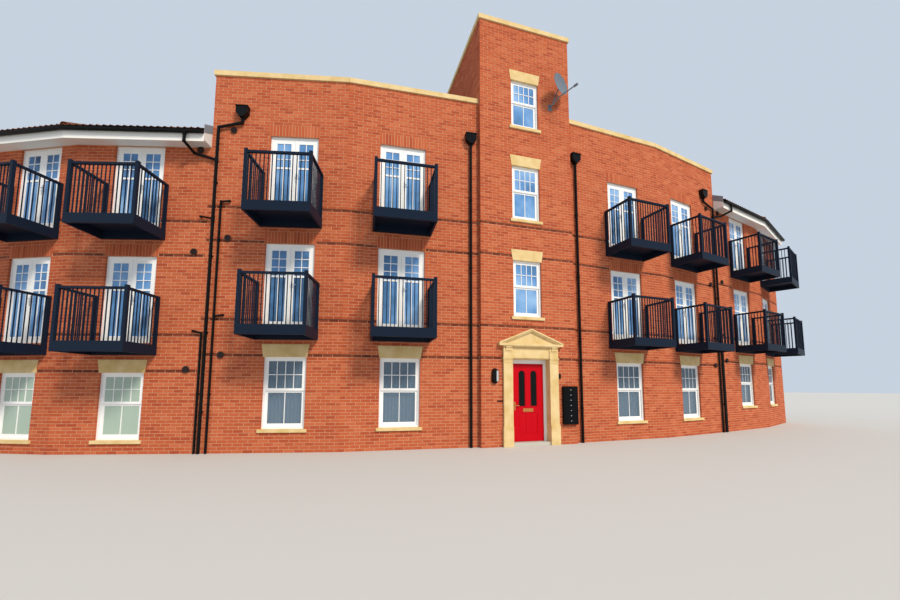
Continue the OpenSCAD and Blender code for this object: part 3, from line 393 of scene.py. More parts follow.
def set_out(name, rows, shape, material, seed=0, unevenness=0.0):
    """Makes one plain mesh from copies of a shape. Each row gives a copy's place, turn and size."""
    points = bpy.data.meshes.new(name)
    points.from_pydata([row[0] for row in rows], [], [])
    for attribute_name, column in (("turn", 1), ("size", 2)):
        attribute = points.attributes.new(attribute_name, "FLOAT_VECTOR", "POINT")
        attribute.data.foreach_set("vector", [part for row in rows for part in row[column]])
    piece = link_mesh(name, points)
    tree = bpy.data.node_groups.get("Set out copies") or copies_tree()
    modifier = piece.modifiers.new("Copies", "NODES")
    modifier.node_group = tree
    values = {"Shape": shape, "Material": material, "Unevenness": unevenness, "Seed": seed}
    for item in tree.interface.items_tree:
        if item.in_out == "INPUT" and item.name in values:
            modifier[item.identifier] = values[item.name]
    evaluated = piece.evaluated_get(bpy.context.evaluated_depsgraph_get())
    mesh = bpy.data.meshes.new_from_object(evaluated)
    piece.modifiers.remove(modifier)
    piece.data = mesh
    mesh.name = name
    return piece


def fit(piece, body="building"):
    """Hangs a finished piece on its body."""
    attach(piece, body)
    return piece


def boxes(name, rows, material, slot, **options):
    """A finished piece made of boxes, one to a row."""
    shape = box_shape()
    piece = fit(set_out(name, rows, shape, material, **options))
    bpy.data.objects.remove(shape)
    return piece


def finish_nodes(material, *names):
    """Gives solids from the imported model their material."""
    for name in names:
        mesh = nodes[name].data
        mesh.materials.clear()
        mesh.materials.append(material)


# The plan: bays, faces and openings


class Bay:
    """One bay of the front, on one side. Along runs away from the tower, and depth into the block."""

    def __init__(self, side, number):
        plan = settings("plan")
        self.side = side
        self.number = number
        self.angle = sum(plan.bay_turns[:number + 1])
        self.length = plan.bay_lengths[number]
        self.middle = plan.bay_middles[number]
        self.lift = 0.0
        if number >= MIDDLE_BAYS:
            self.lift = plan.left_lift if side == LEFT else plan.right_lift
        self.near_turn = self.angle if number == 0 else plan.bay_turns[number] / 2
        self.far_turn = 0.0 if number == BAYS[-1] else plan.bay_turns[number + 1] / 2
        self.along, self.inwards = directions(self.angle)
        self.start = Vector((plan.tower_width / 2, plan.tower_step - plan.block_depth / 2))
        if number:
            self.start = Bay(RIGHT, number - 1).far_point(0)

    def place(self, along, depth):
        """A point in the block's own x and y."""
        point = self.start + along * self.along + depth * self.inwards
        return Vector((self.side * point.x, point.y))

    def direction(self, vector):
        return Vector((self.side * vector.x, vector.y))

    def near_end(self, depth):
        return depth * math.tan(self.near_turn)

    def far_end(self, depth):
        return self.length - depth * math.tan(self.far_turn)

    def near_point(self, depth, inset=0.0):
        """A point on the line that ends the bay towards the tower, or inside that line."""
        return self.place(self.near_end(depth) + inset, depth)

    def far_point(self, depth, inset=0.0):
        """The same at the bay's other end."""
        return self.place(self.far_end(depth) - inset, depth)

    def turn(self):
        """Angle about the upright axis that turns a piece from the tower's front to this bay's."""
        return self.side * self.angle


def all_bays():
    return [Bay(side, number) for side in SIDES for number in BAYS]


@dataclass
class Hole:
    """A part of a face that its bricks leave free. With jambs, the bricks beside it turn into the opening."""

    start: float
    end: float
    low: float
    high: float
    jambs: bool = False


@dataclass
class Face:
    """A flat face to lay bricks on.

    Its bond is how far round the walls it starts, so that the bricks turn the corners.
    """

    start: Vector
    end: Vector
    out: Vector
    foot: float
    top: float
    bond: float = 0.0
    holes: list = field(default_factory=list)
    sunk: tuple = ()
    spans: Optional[Callable] = None

    def __post_init__(self):
        self.length = (self.end - self.start).length
        self.run = (self.end - self.start) / self.length

    def free_spans(self, low, high):
        """Stretches of a course that bricks fill, each with whether it starts and ends at a jamb."""
        spans = self.spans(low, high) if self.spans else [(0.0, self.length)]
        found = [(start, end, False, False) for start, end in spans if end > start]
        level = (low + high) / 2
        for hole in self.holes:
            if not hole.low < level < hole.high:
                continue
            left = []
            for start, end, near, far in found:
                if hole.start >= end or hole.end <= start:
                    left.append((start, end, near, far))
                    continue
                if hole.start > start:
                    left.append((start, hole.start, near, hole.jambs))
                if hole.end < end:
                    left.append((hole.end, end, hole.jambs, far))
            found = left
        return found


# The shortest piece of brick that is laid
SHORTEST_BRICK = 0.035
# How deep the bricks beside an opening are, and how far they stand into it
JAMB_DEPTH = 0.05
JAMB_PROUD = 0.003
# How far a recessed course is set back
STRING_COURSE_DEPTH = 0.02


def cut_course(start, end, slip, bricks):
    """The ends of the bricks that fill a span, with no scrap shorter than a mason would cut."""
    stretch = bricks.length + bricks.joint
    place = math.floor((start + slip) / stretch) * stretch - slip
    cuts = []
    while place < end:
        near, far = max(place, start), min(place + bricks.length, end)
        place += stretch
        if far - near >= SHORTEST_BRICK:
            cuts.append([near, far])
        elif far > near and cuts:
            cuts[-1][1] = far
    if cuts and cuts[0][0] - start < SHORTEST_BRICK + bricks.joint:
        cuts[0][0] = start
    return cuts


def lay_bricks(face, recessed=False):
    """Rows for a face's flush courses, or for its recessed ones: the place, turn and size of each brick."""
    bricks = settings("bricks")
    course = bricks.height + bricks.joint
    turn = (0.0, 0.0, math.atan2(face.run.y, face.run.x))
    sunk = STRING_COURSE_DEPTH if recessed else 0.0
    rows = []
    for number in range(round(face.foot / course), round(face.top / course)):
        if (number in face.sunk) != recessed:
            continue
        low = number * course
        slip = face.bond + (number % 2) * (bricks.length + bricks.joint) / 2
        for start, end, near_jamb, far_jamb in face.free_spans(low, low + bricks.height):
            for near, far in cut_course(start, end, slip, bricks):
                depth = bricks.embed
                if near_jamb and near == start:
                    near -= JAMB_PROUD
                    depth = JAMB_DEPTH - sunk
                if far_jamb and far == end:
                    far += JAMB_PROUD
                    depth = JAMB_DEPTH - sunk
                out = (bricks.proud - depth) / 2 - sunk
                middle = face.start + face.run * (near + far) / 2 + face.out * out
                size = (far - near, depth + bricks.proud, bricks.height)
                rows.append(((*middle, low + bricks.height / 2), turn, size))
    return rows


def lay_soldiers(face, middle, low, count, height):
    """Rows for a course of bricks on end."""
    bricks = settings("bricks")
    course = bricks.height + bricks.joint
    turn = (0.0, 0.0, math.atan2(face.run.y, face.run.x))
    size = (bricks.height, bricks.embed + bricks.proud, height)
    rows = []
    for number in range(count):
        along = middle + (number - (count - 1) / 2) * course
        point = face.start + face.run * along + face.out * (bricks.proud - bricks.embed) / 2
        rows.append(((*point, low + height / 2), turn, size))
    return rows


# Free space round a lintel and over the bricks on end
CLEARANCE = 0.01


def window_holes(middle, width, sill, head):
    """Holes for a window with its stone lintel and sill."""
    openings = settings("openings")
    half, ends = width / 2, openings.sill_ends
    return [
        Hole(middle - half, middle + half, sill, head, jambs=True),
        Hole(middle - half - CLEARANCE, middle + half + CLEARANCE, head,
             head + openings.lintel_height + CLEARANCE),
        Hole(middle - half - ends, middle + half + ends, sill - openings.sill_height, sill),
    ]


UPPER_STOREYS = (1, 2)
# The bricks on end over a balcony door: their count and their height
SOLDIER_COUNT = 16
SOLDIER_HEIGHT = 0.29
# Brick courses that are set back, counted from the level of the wing or of the middle
STRING_COURSES = (29, 40, 65, 76)


def floor_level(storey):
    plan = settings("plan")
    return plan.first_floor + (storey - 1) * plan.storey


def window_levels(bay):
    """Sill and head of a bay's ground-floor window."""
    openings = settings("openings")
    sill = openings.wing_sill if bay.number >= MIDDLE_BAYS else openings.window_sill
    return sill + bay.lift, openings.window_head + bay.lift


def string_courses(lift):
    bricks = settings("bricks")
    raised = round(lift / (bricks.height + bricks.joint))
    return tuple(number + raised for number in STRING_COURSES)


def wall_top(bay):
    """Top of a bay's brickwork, under the eaves or under the parapet's coping."""
    plan = settings("plan")
    return plan.parapet_top if bay.number < MIDDLE_BAYS else plan.soffit_height + bay.lift


def bay_front(bay, bond):
    """The front face of a bay, and the rows of the soldier bricks over its balcony doors."""
    openings, bricks = settings("openings"), settings("bricks")
    top = wall_top(bay)
    face = Face(bay.near_point(0), bay.far_point(0), -bay.direction(bay.inwards), 0.0, top, bond,
                sunk=string_courses(bay.lift))
    face.holes += window_holes(bay.middle, openings.window_width, *window_levels(bay))
    half = openings.door_width / 2
    wide = SOLDIER_COUNT * (bricks.height + bricks.joint) / 2
    soldiers = []
    for storey in UPPER_STOREYS:
        low = floor_level(storey) + bay.lift
        high = low + openings.door_height
        face.holes.append(Hole(bay.middle - half, bay.middle + half, low, high, jambs=True))
        end = high + SOLDIER_HEIGHT
        if end < top:
            face.holes.append(Hole(bay.middle - wide, bay.middle + wide, high, end + CLEARANCE))
            soldiers += lay_soldiers(face, bay.middle, high, SOLDIER_COUNT, SOLDIER_HEIGHT)
    return face, soldiers


def tower_faces():
    """Faces of the stair tower: its front, the returns beside the bays, and all round above the flat roof."""
    plan, openings = settings("plan"), settings("openings")
    half, front = plan.tower_width / 2, -plan.block_depth / 2
    rear = front + plan.tower_depth
    face = Face(Vector((-half, front)), Vector((half, front)), Vector((0, -1)), 0.0, plan.tower_top, -half,
                sunk=string_courses(0))
    start = half + openings.doorway_offset - openings.doorway_width / 2
    face.holes.append(Hole(start, start + openings.doorway_width, 0, openings.doorway_head))
    middle = half + openings.tower_window_offset
    for sill, head in zip(openings.tower_sills, openings.tower_heads):
        face.holes += window_holes(middle, openings.tower_window_width, sill, head)
    faces = [face]
    for side in SIDES:
        corner, back = Vector((side * half, front)), Vector((side * half, rear))
        step = corner + Vector((0, plan.tower_step))
        out = Vector((side, 0))
        faces.append(Face(corner, step, out, 0.0, plan.deck_top, half, sunk=string_courses(0)))
        faces.append(Face(corner, back, out, plan.deck_top, plan.tower_top, half))
    faces.append(Face(Vector((half, rear)), Vector((-half, rear)), Vector((0, 1)), plan.deck_top,
                      plan.tower_top, half + plan.tower_depth))
    return faces


def rear_holes(middle, lift=0.0):
    """Holes for the windows of the rear, one over the other."""
    openings = settings("openings")
    holes = []
    for sill in openings.rear_sills:
        holes += window_holes(middle, openings.rear_window_width, sill + lift,
                              sill + lift + openings.rear_window_height)
    return holes


def rear_bay_face(bay, bond):
    depth = settings("plan").block_depth
    face = Face(bay.near_point(depth), bay.far_point(depth), bay.direction(bay.inwards), 0.0,
                wall_top(bay), bond)
    face.holes = rear_holes(face.length / 2, bay.lift)
    return face


def rear_level():
    return Bay(RIGHT, 0).near_point(settings("plan").block_depth).y


def rear_middle_face():
    plan = settings("plan")
    half, rear = plan.tower_width / 2, rear_level()
    return Face(Vector((-half, rear)), Vector((half, rear)), Vector((0, 1)), 0.0, plan.parapet_top, -half,
                holes=rear_holes(half))


def party_face(bay, bond):
    """The end wall under the roof's two slopes."""
    plan = settings("plan")
    rise = math.tan(plan.roof_pitch)
    eaves = plan.eaves_height + bay.lift + plan.eaves_reach * rise

    def under_slopes(low, high):
        inset = max(0.0, (high - eaves) / rise)
        return [(inset, plan.block_depth - inset)]

    ridge = eaves + plan.block_depth / 2 * rise
    return Face(bay.far_point(0), bay.far_point(plan.block_depth), bay.direction(bay.along), 0.0, ridge,
                bond, spans=under_slopes)


# How far the walls beside the wings stand up above the wing roofs
GABLE_RISE = 0.15


def cross_wall_faces(side):
    """The wall beside a wing, above the wing's roof on one side and above the flat roof on the other."""
    plan = settings("plan")
    bay, wing = Bay(side, MIDDLE_BAYS - 1), Bay(side, MIDDLE_BAYS)
    rise = math.tan(plan.roof_pitch)
    depth, wall = plan.block_depth, plan.wall_thickness
    surface = plan.eaves_height + wing.lift + plan.eaves_reach * rise + plan.roof_thickness
    scale = 1 / math.cos(bay.far_turn)

    def gable_inset(high):
        return 0.0 if high <= plan.parapet_top else max(0.0, (high - surface - GABLE_RISE) / rise) * scale

    def beside_roof(low, high):
        near, far = gable_inset(high), max(0.0, (high - surface) / rise) * scale
        whole = depth * scale
        return [(near, min(far, whole / 2)), (whole - min(far, whole / 2), whole - near)]

    def above_deck(low, high):
        inset = gable_inset(high)
        return [(inset, (depth - 2 * wall) * scale - inset)]

    outer = [bay.far_point(level) for level in (0, depth)]
    inner = [bay.far_point(level, plan.cross_thickness) for level in (wall, depth - wall)]
    outwards = Vector((outer[1].y - outer[0].y, outer[0].x - outer[1].x)).normalized()
    if outwards.x * side < 0:
        outwards = -outwards
    top = surface + GABLE_RISE + depth / 2 * rise
    return [
        Face(*outer, outwards, plan.soffit_height + wing.lift, top, spans=beside_roof),
        Face(*inner, -outwards, plan.deck_top, top, spans=above_deck),
    ]


def inner_parapet_faces(side):
    """Inside faces of the parapet round the flat roof, from the middle of the rear to one side."""
    plan = settings("plan")
    depth, wall = plan.block_depth, plan.wall_thickness
    faces = []
    for number in range(MIDDLE_BAYS):
        bay = Bay(side, number)
        back = plan.cross_thickness if number == MIDDLE_BAYS - 1 else 0.0
        for level, out in ((wall, bay.inwards), (depth - wall, -bay.inwards)):
            faces.append(Face(bay.near_point(level), bay.far_point(level, back), bay.direction(out),
                              plan.deck_top, plan.parapet_top))
    rear = rear_level() - wall
    faces.append(Face(Vector((0, rear)), Vector((side * plan.tower_width / 2, rear)), Vector((0, -1)),
                      plan.deck_top, plan.parapet_top))
    return faces


# Materials


def brick_material():
    """Wire-cut clay bricks: rough and dull, each fired to a tone of its own with patches 30 mm wide."""
    bricks = settings("bricks")
    material = finish_material("Wire-cut clay brick", bricks.middle, 0.95, Specular_IOR_Level=0.2)
    tones = [bricks.dark, bricks.middle, bricks.middle, bricks.light]
    return mottle(material, tones, grain=30 * MM, relief=1.5 * MM, tone=True)


def stained_brick_material():
    """The same bricks in the recessed courses, coloured a dark brown red as painted shade for the shadow that
    falls in the recess.
    """
    material = finish_material("Clay brick with painted shade", "#7A3C29", 0.95, Specular_IOR_Level=0.2)
    return mottle(material, ["#6A3121", "#8A452F"], grain=30 * MM, relief=1.5 * MM, tone=True)


def mortar_material():
    """Sand and cement mortar, brushed: pale, pinkish and gritty, with patches 20 mm wide."""
    bricks = settings("bricks")
    material = finish_material("Brushed sand mortar", bricks.mortar, 0.95)
    return mottle(material, ["#B98769", bricks.mortar, "#D5A78A"], grain=20 * MM, relief=1 * MM)


def cast_stone_material():
    """Cast stone from cream limestone dust: fine grained, with faint weather stains 250 mm wide."""
    material = finish_material("Cast stone", "#DABF88", 0.85)
    return mottle(material, ["#CFB172", "#DABF88", "#E2CA97"], grain=250 * MM, relief=0.8 * MM)


def tile_material():
    """Concrete roof tiles: dull brown granules, each tile weathered differently, with patches 50 mm wide."""
    tiles = settings("tiles")
    material = finish_material("Concrete roof tile", tiles.dark, 0.95, Specular_IOR_Level=0.1)
    return mottle(material, [tiles.dark, tiles.light], grain=50 * MM, relief=1 * MM, tone=True)


def felt_material():
    """Mineral roofing felt: grey and dull, with worn patches 400 mm wide."""
    material = finish_material("Mineral roofing felt", "#6C6E6F", 0.95)
    return mottle(material, ["#5F6162", "#7B7D7D"], grain=400 * MM, relief=2 * MM)


def sky_glass_material():
    """Sealed double glazing with a painted reflection of the sky: blue and glossy, with painted pale clouds
    1.1 m wide.
    """
    material = finish_material("Double glazing with painted sky reflection", "#5F90C6", 0.06, Specular_IOR_Level=0.3)
    return mottle(material, ["#35587C", "#5F90C6", "#97BEE6"], grain=1100 * MM, relief=0)


def glaze_left_wing(material):
    """Gives the panes of the left wing's ground floor a material of their own."""
    mesh = nodes["ground_window_glass"].data
    mesh.materials.append(material)
    wing_start = Bay(LEFT, MIDDLE_BAYS).near_point(0).x
    for face in mesh.polygons:
        face.material_index = 1 if face.center.x < wing_start else 0


# Plain finishes: each one's name, colour, roughness and further shader inputs, and the solids that it covers
PLAIN_FINISHES = (
    # Floors of precast concrete, off the mould: pale grey and matt
    ("Precast concrete", "#B5B2AB", 0.9, {},
     ("ground_floor", "first_floor", "second_floor", "wing_ceilings")),
    # Felt soaked in bitumen, which shows only between tiles: dark brown and dull
    ("Bitumen felt underlay", "#3B2A22", 0.95, {}, ("wing_roofs",)),
    # Window profiles of extruded PVC: white with a soft shine
    ("Extruded white PVC", "#F2F3F2", 0.32, {},
     ("front_windows", "rear_windows", "balcony_doors", "door_frame")),
    # Eaves boards of white foamed PVC: a little warmer and duller
    ("Foamed white PVC", "#EDECE6", 0.45, {}, ("eaves_boxes",)),
    # Rainwater goods of black PVC: near black with a satin shine
    ("Black PVC pipe", "#08090A", 0.5, {"Specular_IOR_Level": 0.2},
     ("gutters", "downpipes", "rain_hoppers", "waste_pipes")),
    # Mild steel, galvanised and powder coated: blue black, satin
    ("Powder-coated steel", "#131F30", 0.55, {"Specular_IOR_Level": 0.15},
     ("balcony_decks", "balcony_front_railings", "balcony_side_railings")),
    # Clear double glazing, see-through, with a painted reflection of the sky's blue
    ("Clear double glazing", "#6E869A", 0.04, {"Alpha": 0.45}, ("ground_window_glass",)),
    # Die-cast handles, plated in satin chrome: pale soft metal
    ("Satin chrome", "#C9CBCC", 0.3, {"Metallic": 1.0}, ("balcony_door_handles",)),
    # Moulded plastic vents: a very dark brown
    ("Moulded brown plastic", "#24150F", 0.6, {}, ("wall_vents",)),
    # Composite door skin: crimson, smooth and glossy
    ("Crimson composite door skin", "#BE0014", 0.3, {"Specular_IOR_Level": 0.15}, ("door_leaf",)),
    # Toughened glass, nearly black and a little green: painted shade of the dark hall behind it
    ("Toughened glass with painted hall shade", "#0C120F", 0.12, {"Specular_IOR_Level": 0.15}, ("door_glass",)),
    # Polished brass: warm yellow metal
    ("Polished brass", "#EBA05C", 0.25, {"Metallic": 1.0}, ("door_furniture",)),
    # Steel-trowelled concrete step: pale and nearly smooth
    ("Trowelled concrete", "#BDB9AE", 0.85, {}, ("door_threshold",)),
    # Cast aluminium, painted black: satin
    ("Painted cast aluminium", "#08090A", 0.5, {"Specular_IOR_Level": 0.2},
     ("wall_lantern", "entrance_fittings")),
    # Opal polycarbonate, unlit: pale grey with a soft shine
    ("Opal polycarbonate", "#B9BEC0", 0.35, {}, ("lantern_lens",)),
    # Folded steel sheet, painted black: satin
    ("Painted steel sheet", "#08090B", 0.5, {"Specular_IOR_Level": 0.15}, ("post_boxes",)),
    # Pressed steel dish with baked paint: grey, satin
    ("Baked grey paint on steel", "#6A727D", 0.5, {}, ("satellite_dish",)),
)


class BLOCK_OT_finish_solids(Operator):
    """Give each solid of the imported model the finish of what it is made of"""

    bl_idname = "block.finish_solids"
    bl_label = "Finish solids"

    def execute(self, context):
        walls = [name for name in nodes if "wall" in name and name not in ("wall_lantern", "wall_vents")]
        finish_nodes(mortar_material(), "tower_left_pier", "tower_right_pier", *walls)
        finish_nodes(cast_stone_material(), "parapet_copings", "tower_coping", "window_lintels",
                     "window_sills", "doorcase_pilasters", "doorcase_head")
        finish_nodes(felt_material(), "roof_deck", "tower_roof")
        # The panes of the balcony doors, tower and rear carry a painted sky reflection
        finish_nodes(sky_glass_material(), "balcony_door_glass", "tower_window_glass", "rear_window_glass")
        for name, colour, roughness, inputs, solids in PLAIN_FINISHES:
            finish_nodes(finish_material(name, colour, roughness, **inputs), *solids)
        # Double glazing with a pale reflection all over it: a hazy grey green
        glaze_left_wing(finish_material("Hazy double glazing", "#AEC4B6", 0.15, Alpha=0.85))
        return {"FINISHED"}


class BLOCK_OT_brickwork(Operator):
    """Lay the facing bricks of every outside wall, with reveals, recessed courses and soldier courses"""

    bl_idname = "block.brickwork"
    bl_label = "Brickwork"

    def execute(self, context):
        plan, bricks = settings("plan"), settings("bricks")
        groups = {"tower": [row for face in tower_faces() for row in lay_bricks(face)]}
        recessed = [row for face in tower_faces() for row in lay_bricks(face, recessed=True)]
        for side, side_name in SIDES.items():
            front, rear, parapet = [], [], []
            front_bond = plan.tower_width / 2 + plan.tower_step
            rear_bond = plan.tower_width / 2
            for number in BAYS:
                bay = Bay(side, number)
                face, soldiers = bay_front(bay, front_bond)
                front += lay_bricks(face) + soldiers
                recessed += lay_bricks(face, recessed=True)
                front_bond += face.length
                face = rear_bay_face(bay, rear_bond)
                rear += lay_bricks(face)
                rear_bond += face.length
            for face in inner_parapet_faces(side) + cross_wall_faces(side):
                parapet += lay_bricks(face)
            if side == LEFT:
                rear += lay_bricks(rear_middle_face())
            groups[side_name + "_front"] = front
            groups[side_name + "_rear"] = rear
            groups[side_name + "_parapet"] = parapet
            groups[side_name + "_end"] = lay_bricks(party_face(Bay(side, BAYS[-1]), front_bond))
        material = brick_material()
        for number, (name, rows) in enumerate(groups.items()):
            boxes("brickwork_" + name, rows, material, "brick", seed=bricks.seed + number,
                  unevenness=bricks.unevenness)
        # The recessed courses take darker bricks: painted shade of the recess
        boxes("recessed_courses", recessed, stained_brick_material(), "brick", seed=bricks.seed,
              unevenness=bricks.unevenness)
        return {"FINISHED"}


# Windows and doors


@dataclass
class Pane:
    """A rectangle of glass: its foot's middle on the brick face, its wall's turn, its size and its depth."""

    foot: Vector
    low: float
    turn: float
    width: float
    height: float
    depth: float

    def bar(self, across, up, width, height):
        """Row for a bar in front of the glass, from its middle's place across and up the pane."""
        deep = settings("openings").bar_depth
        run, into = directions(self.turn)
        point = self.foot + run * across + into * (self.depth - deep / 2)
        return ((*point, self.low + up), (0.0, 0.0, self.turn), (width, deep, height))

    def bars(self, uprights, levels):
        """Rows for evenly spaced bars over the pane."""
        width = settings("openings").bar_width
        rows = []
        for number in range(1, uprights + 1):
            across = self.width * (number / (uprights + 1) - 0.5)
            rows.append(self.bar(across, self.height / 2, width, self.height))
        for number in range(1, levels + 1):
            rows.append(self.bar(0, self.height * number / (levels + 1), self.width, width))
        return rows


# Profiles of a sash window, beside, under, over and between its panes
SASH_SIDE = 0.105
SASH_FOOT = 0.12
SASH_HEAD = 0.097
MEETING_RAILS = 0.1


def sash_panes(foot, turn, width, sill, head):
    """Lower and upper pane of a sash window, whose meeting rails stand on its middle."""
    openings = settings("openings")
    middle = (sill + head) / 2
    wide = width - 2 * SASH_SIDE
    low, high = sill + SASH_FOOT, middle + MEETING_RAILS
    return (Pane(foot, low, turn, wide, middle - low, openings.lower_glass_depth),
            Pane(foot, high, turn, wide, head - SASH_HEAD - high, openings.upper_glass_depth))


def front_windows():
    """Place, turn, width, sill and head of every window in the front."""
    plan, openings = settings("plan"), settings("openings")
    found = []
    for bay in all_bays():
        found.append((bay.place(bay.middle, 0), bay.turn(), openings.window_width, *window_levels(bay)))
    foot = Vector((openings.tower_window_offset, -plan.block_depth / 2))
    for sill, head in zip(openings.tower_sills, openings.tower_heads):
        found.append((foot, 0.0, openings.tower_window_width, sill, head))
    return found


def rear_windows():
    """Place, turn, width, sill and head of every window in the rear."""
    openings = settings("openings")
    width = openings.rear_window_width
    depth = settings("plan").block_depth
    found = []
    for sill in openings.rear_sills:
        head = sill + openings.rear_window_height
        found.append((Vector((0, rear_level())), math.pi, width, sill, head))
        for bay in all_bays():
            middle = (bay.near_end(depth) + bay.far_end(depth)) / 2
            found.append((bay.place(middle, depth), bay.turn() + math.pi, width,
                          sill + bay.lift, head + bay.lift))
    return found


# Profiles of a balcony door: its frame, and its leaves beside, under, over and between their panes
DOOR_FRAME = 0.05
DOOR_STILE = 0.095
DOOR_FOOT = 0.16
DOOR_HEAD = 0.155
DOOR_TRANSOM = 0.045
# How far the transom's foot lies under the top of the upper panes
DOOR_TRANSOM_DROP = 0.65


def balcony_door_panes():
    """Lower and upper panes of every balcony door's two leaves."""
    openings = settings("openings")
    leaf_width = openings.door_width / 2 - DOOR_FRAME
    wide = leaf_width - 2 * DOOR_STILE
    top = openings.door_height - DOOR_HEAD
    transom = top - DOOR_TRANSOM_DROP
    lower, upper = [], []
    parts = ((lower, DOOR_FOOT, transom), (upper, transom + DOOR_TRANSOM, top))
    for bay in all_bays():
        for storey in UPPER_STOREYS:
            level = floor_level(storey) + bay.lift
            for leaf in (-1, 1):
                foot = bay.place(bay.middle + leaf * leaf_width / 2, 0)
                for panes, low, high in parts:
                    panes.append(Pane(foot, level + low, bay.turn(), wide, high - low,
                                      openings.door_glass_depth))
    return lower, upper


class BLOCK_OT_window_bars(Operator):
    """Put the thin white bars on the glass of the windows and balcony doors"""

    bl_idname = "block.window_bars"
    bl_label = "Window bars"

    def execute(self, context):
        # The same extruded PVC as the frames: white with a soft shine
        material = finish_material("Extruded PVC bar", "#F2F3F2", 0.32)
        lower, upper = balcony_door_panes()
        rows = [row for pane in lower for row in pane.bars(1, 0)]
        rows += [row for pane in upper for row in pane.bars(1, 2)]
        for window in front_windows():
            low, high = sash_panes(*window)
            rows += high.bars(3, 1) + low.bars(1, 0)
        boxes("front_glazing_bars", rows, material, "white_frame")
        rows = []
        for window in rear_windows():
            low, high = sash_panes(*window)
            rows += high.bars(1, 1) + low.bars(1, 0)
        boxes("rear_glazing_bars", rows, material, "white_frame")
        return {"FINISHED"}


# A curtain: its depth behind the brick face, its folds' width and depth, and its cloth's thickness
CURTAIN_DEPTH = 0.2
CURTAIN_FOLD = 0.085
CURTAIN_SWING = 0.022
CURTAIN_THICKNESS = 0.002
# The steps in a fold, and how far and how slowly the folds drift from even
FOLD_STEPS = 8
FOLD_DRIFT = 0.6
FOLD_DRIFT_STEPS = 11
# How much narrower a curtain is than its window, and its gaps over the sill and under the head
CURTAIN_SIDE_GAPS = 0.03
CURTAIN_FOOT_GAP = 0.01
CURTAIN_HEAD_GAP = 0.04
# How far the rail's middle is under the head, and the rail's depth and height
RAIL_DROP = 0.025
RAIL_DEPTH = 0.02
RAIL_HEIGHT = 0.03
# The windows with white curtains, by their number in the list of front windows
LEFT_WING_WINDOWS = (2, 3)


def pleated_sheet(name, foot, turn, width, low, high, material):
    """A curtain gathered into even folds, and the width its cloth had when it was flat."""
    steps = round(width / CURTAIN_FOLD) * FOLD_STEPS
    run, into = directions(turn)
    line = []
    for number in range(steps + 1):
        along = width * (number / steps - 0.5)
        drift = FOLD_DRIFT * math.sin(number / FOLD_DRIFT_STEPS)
        swing = CURTAIN_SWING * math.sin(2 * math.pi * number / FOLD_STEPS + drift)
        line.append(foot + run * along + into * (CURTAIN_DEPTH + swing))
    flat = sum((after - before).length for before, after in zip(line, line[1:]))
    vertices = [(*point, level) for level in (low, high) for point in line]
    count = steps + 1
    faces = [(k, k + 1, k + 1 + count, k + count) for k in range(steps)]
    mesh = bpy.data.meshes.new(name)
    mesh.from_pydata(vertices, [], faces)
    piece = link_mesh(name, mesh, material)
    thickness = piece.modifiers.new("Cloth", "SOLIDIFY")
    thickness.thickness = CURTAIN_THICKNESS
    return piece, flat


class BLOCK_OT_curtains(Operator):
    """Hang the curtains behind the ground-floor and tower windows"""

    bl_idname = "block.curtains"
    bl_label = "Curtains"

    def execute(self, context):
        # Woven polyester: soft and matt with a faint sheen, grey blue, or nearly white in the left wing
        blue = finish_material("Grey blue woven polyester", "#A9B6C6", 0.9, Sheen_Weight=0.2)
        white = finish_material("White woven polyester", "#E4E6E6", 0.9, Sheen_Weight=0.2)
        rails, curtains = [], []
        for number, (foot, turn, width, sill, head) in enumerate(front_windows()):
            wide = width - CURTAIN_SIDE_GAPS
            low, high = sill + CURTAIN_FOOT_GAP, head - CURTAIN_HEAD_GAP
            cloth = white if number in LEFT_WING_WINDOWS else blue
            piece, flat = pleated_sheet(f"curtain_{number + 1}", foot, turn, wide, low, high, cloth)
            curtains.append((piece, flat, high - low))
            point = foot + directions(turn)[1] * CURTAIN_DEPTH
            rails.append(((*point, head - RAIL_DROP), (0.0, 0.0, turn), (wide, RAIL_DEPTH, RAIL_HEIGHT)))
        # Extruded aluminium, painted: clean white, satin
        paint = finish_material("Painted aluminium", "#EEEEEC", 0.4)
        rail = boxes("curtain_rails", rails, paint, "white_frame")
        for piece, flat, tall in curtains:
            fit(piece)
        return {"FINISHED"}


# Roofs


FULL_SIZE = (1.0, 1.0, 1.0)
# A tile's columns of faces, its rolls, and how many thicknesses its tail is raised
TILE_COLUMNS = 8
TILE_ROLLS = 2
TILE_TAIL_LIFT = 1.6
# A ridge or hip tile: its length, its thickness and the flats of its curve
RIDGE_TILE_LENGTH = 0.45
RIDGE_TILE_THICKNESS = 0.015
RIDGE_TILE_STEPS = 8
# How far the ridge tiles' axis lies under the line where the slopes meet, and their gap to its ends
RIDGE_SINK = 0.01
RIDGE_END_GAP = 0.02


def tile_shape():
    """One roof tile with two rolls, its head at the origin's level and its tail raised on the row below."""
    tiles = settings("tiles")
    columns = TILE_COLUMNS
    vertices, faces = [], []
    for under in (0, 1):
        for along, lift in ((-tiles.lap, tiles.thickness * TILE_TAIL_LIFT), (tiles.gauge, 0.0)):
            for column in range(columns + 1):
                across = tiles.cover * (column / columns - 0.5)
                wave = math.sin(2 * TILE_ROLLS * math.pi * column / columns)
                roll = tiles.roll * max(0.0, wave) if column else 0.0
                vertices.append((across, along, lift + roll + tiles.thickness * (1 - under)))
    row = columns + 1
    for column in range(columns):
        top = [column, column + 1, column + 1 + row, column + row]
        faces.append(top)
        faces.append([v + 2 * row for v in reversed(top)])
        faces.append([column + 1, column, column + 2 * row, column + 1 + 2 * row])
        faces.append([column + row, column + 1 + row, column + 1 + 3 * row, column + 3 * row])
    faces.append([0, row, 3 * row, 2 * row])
    faces.append([2 * row - 1, 4 * row - 1, 3 * row - 1, row - 1])
    return closed_shape("Tile shape", vertices, faces)


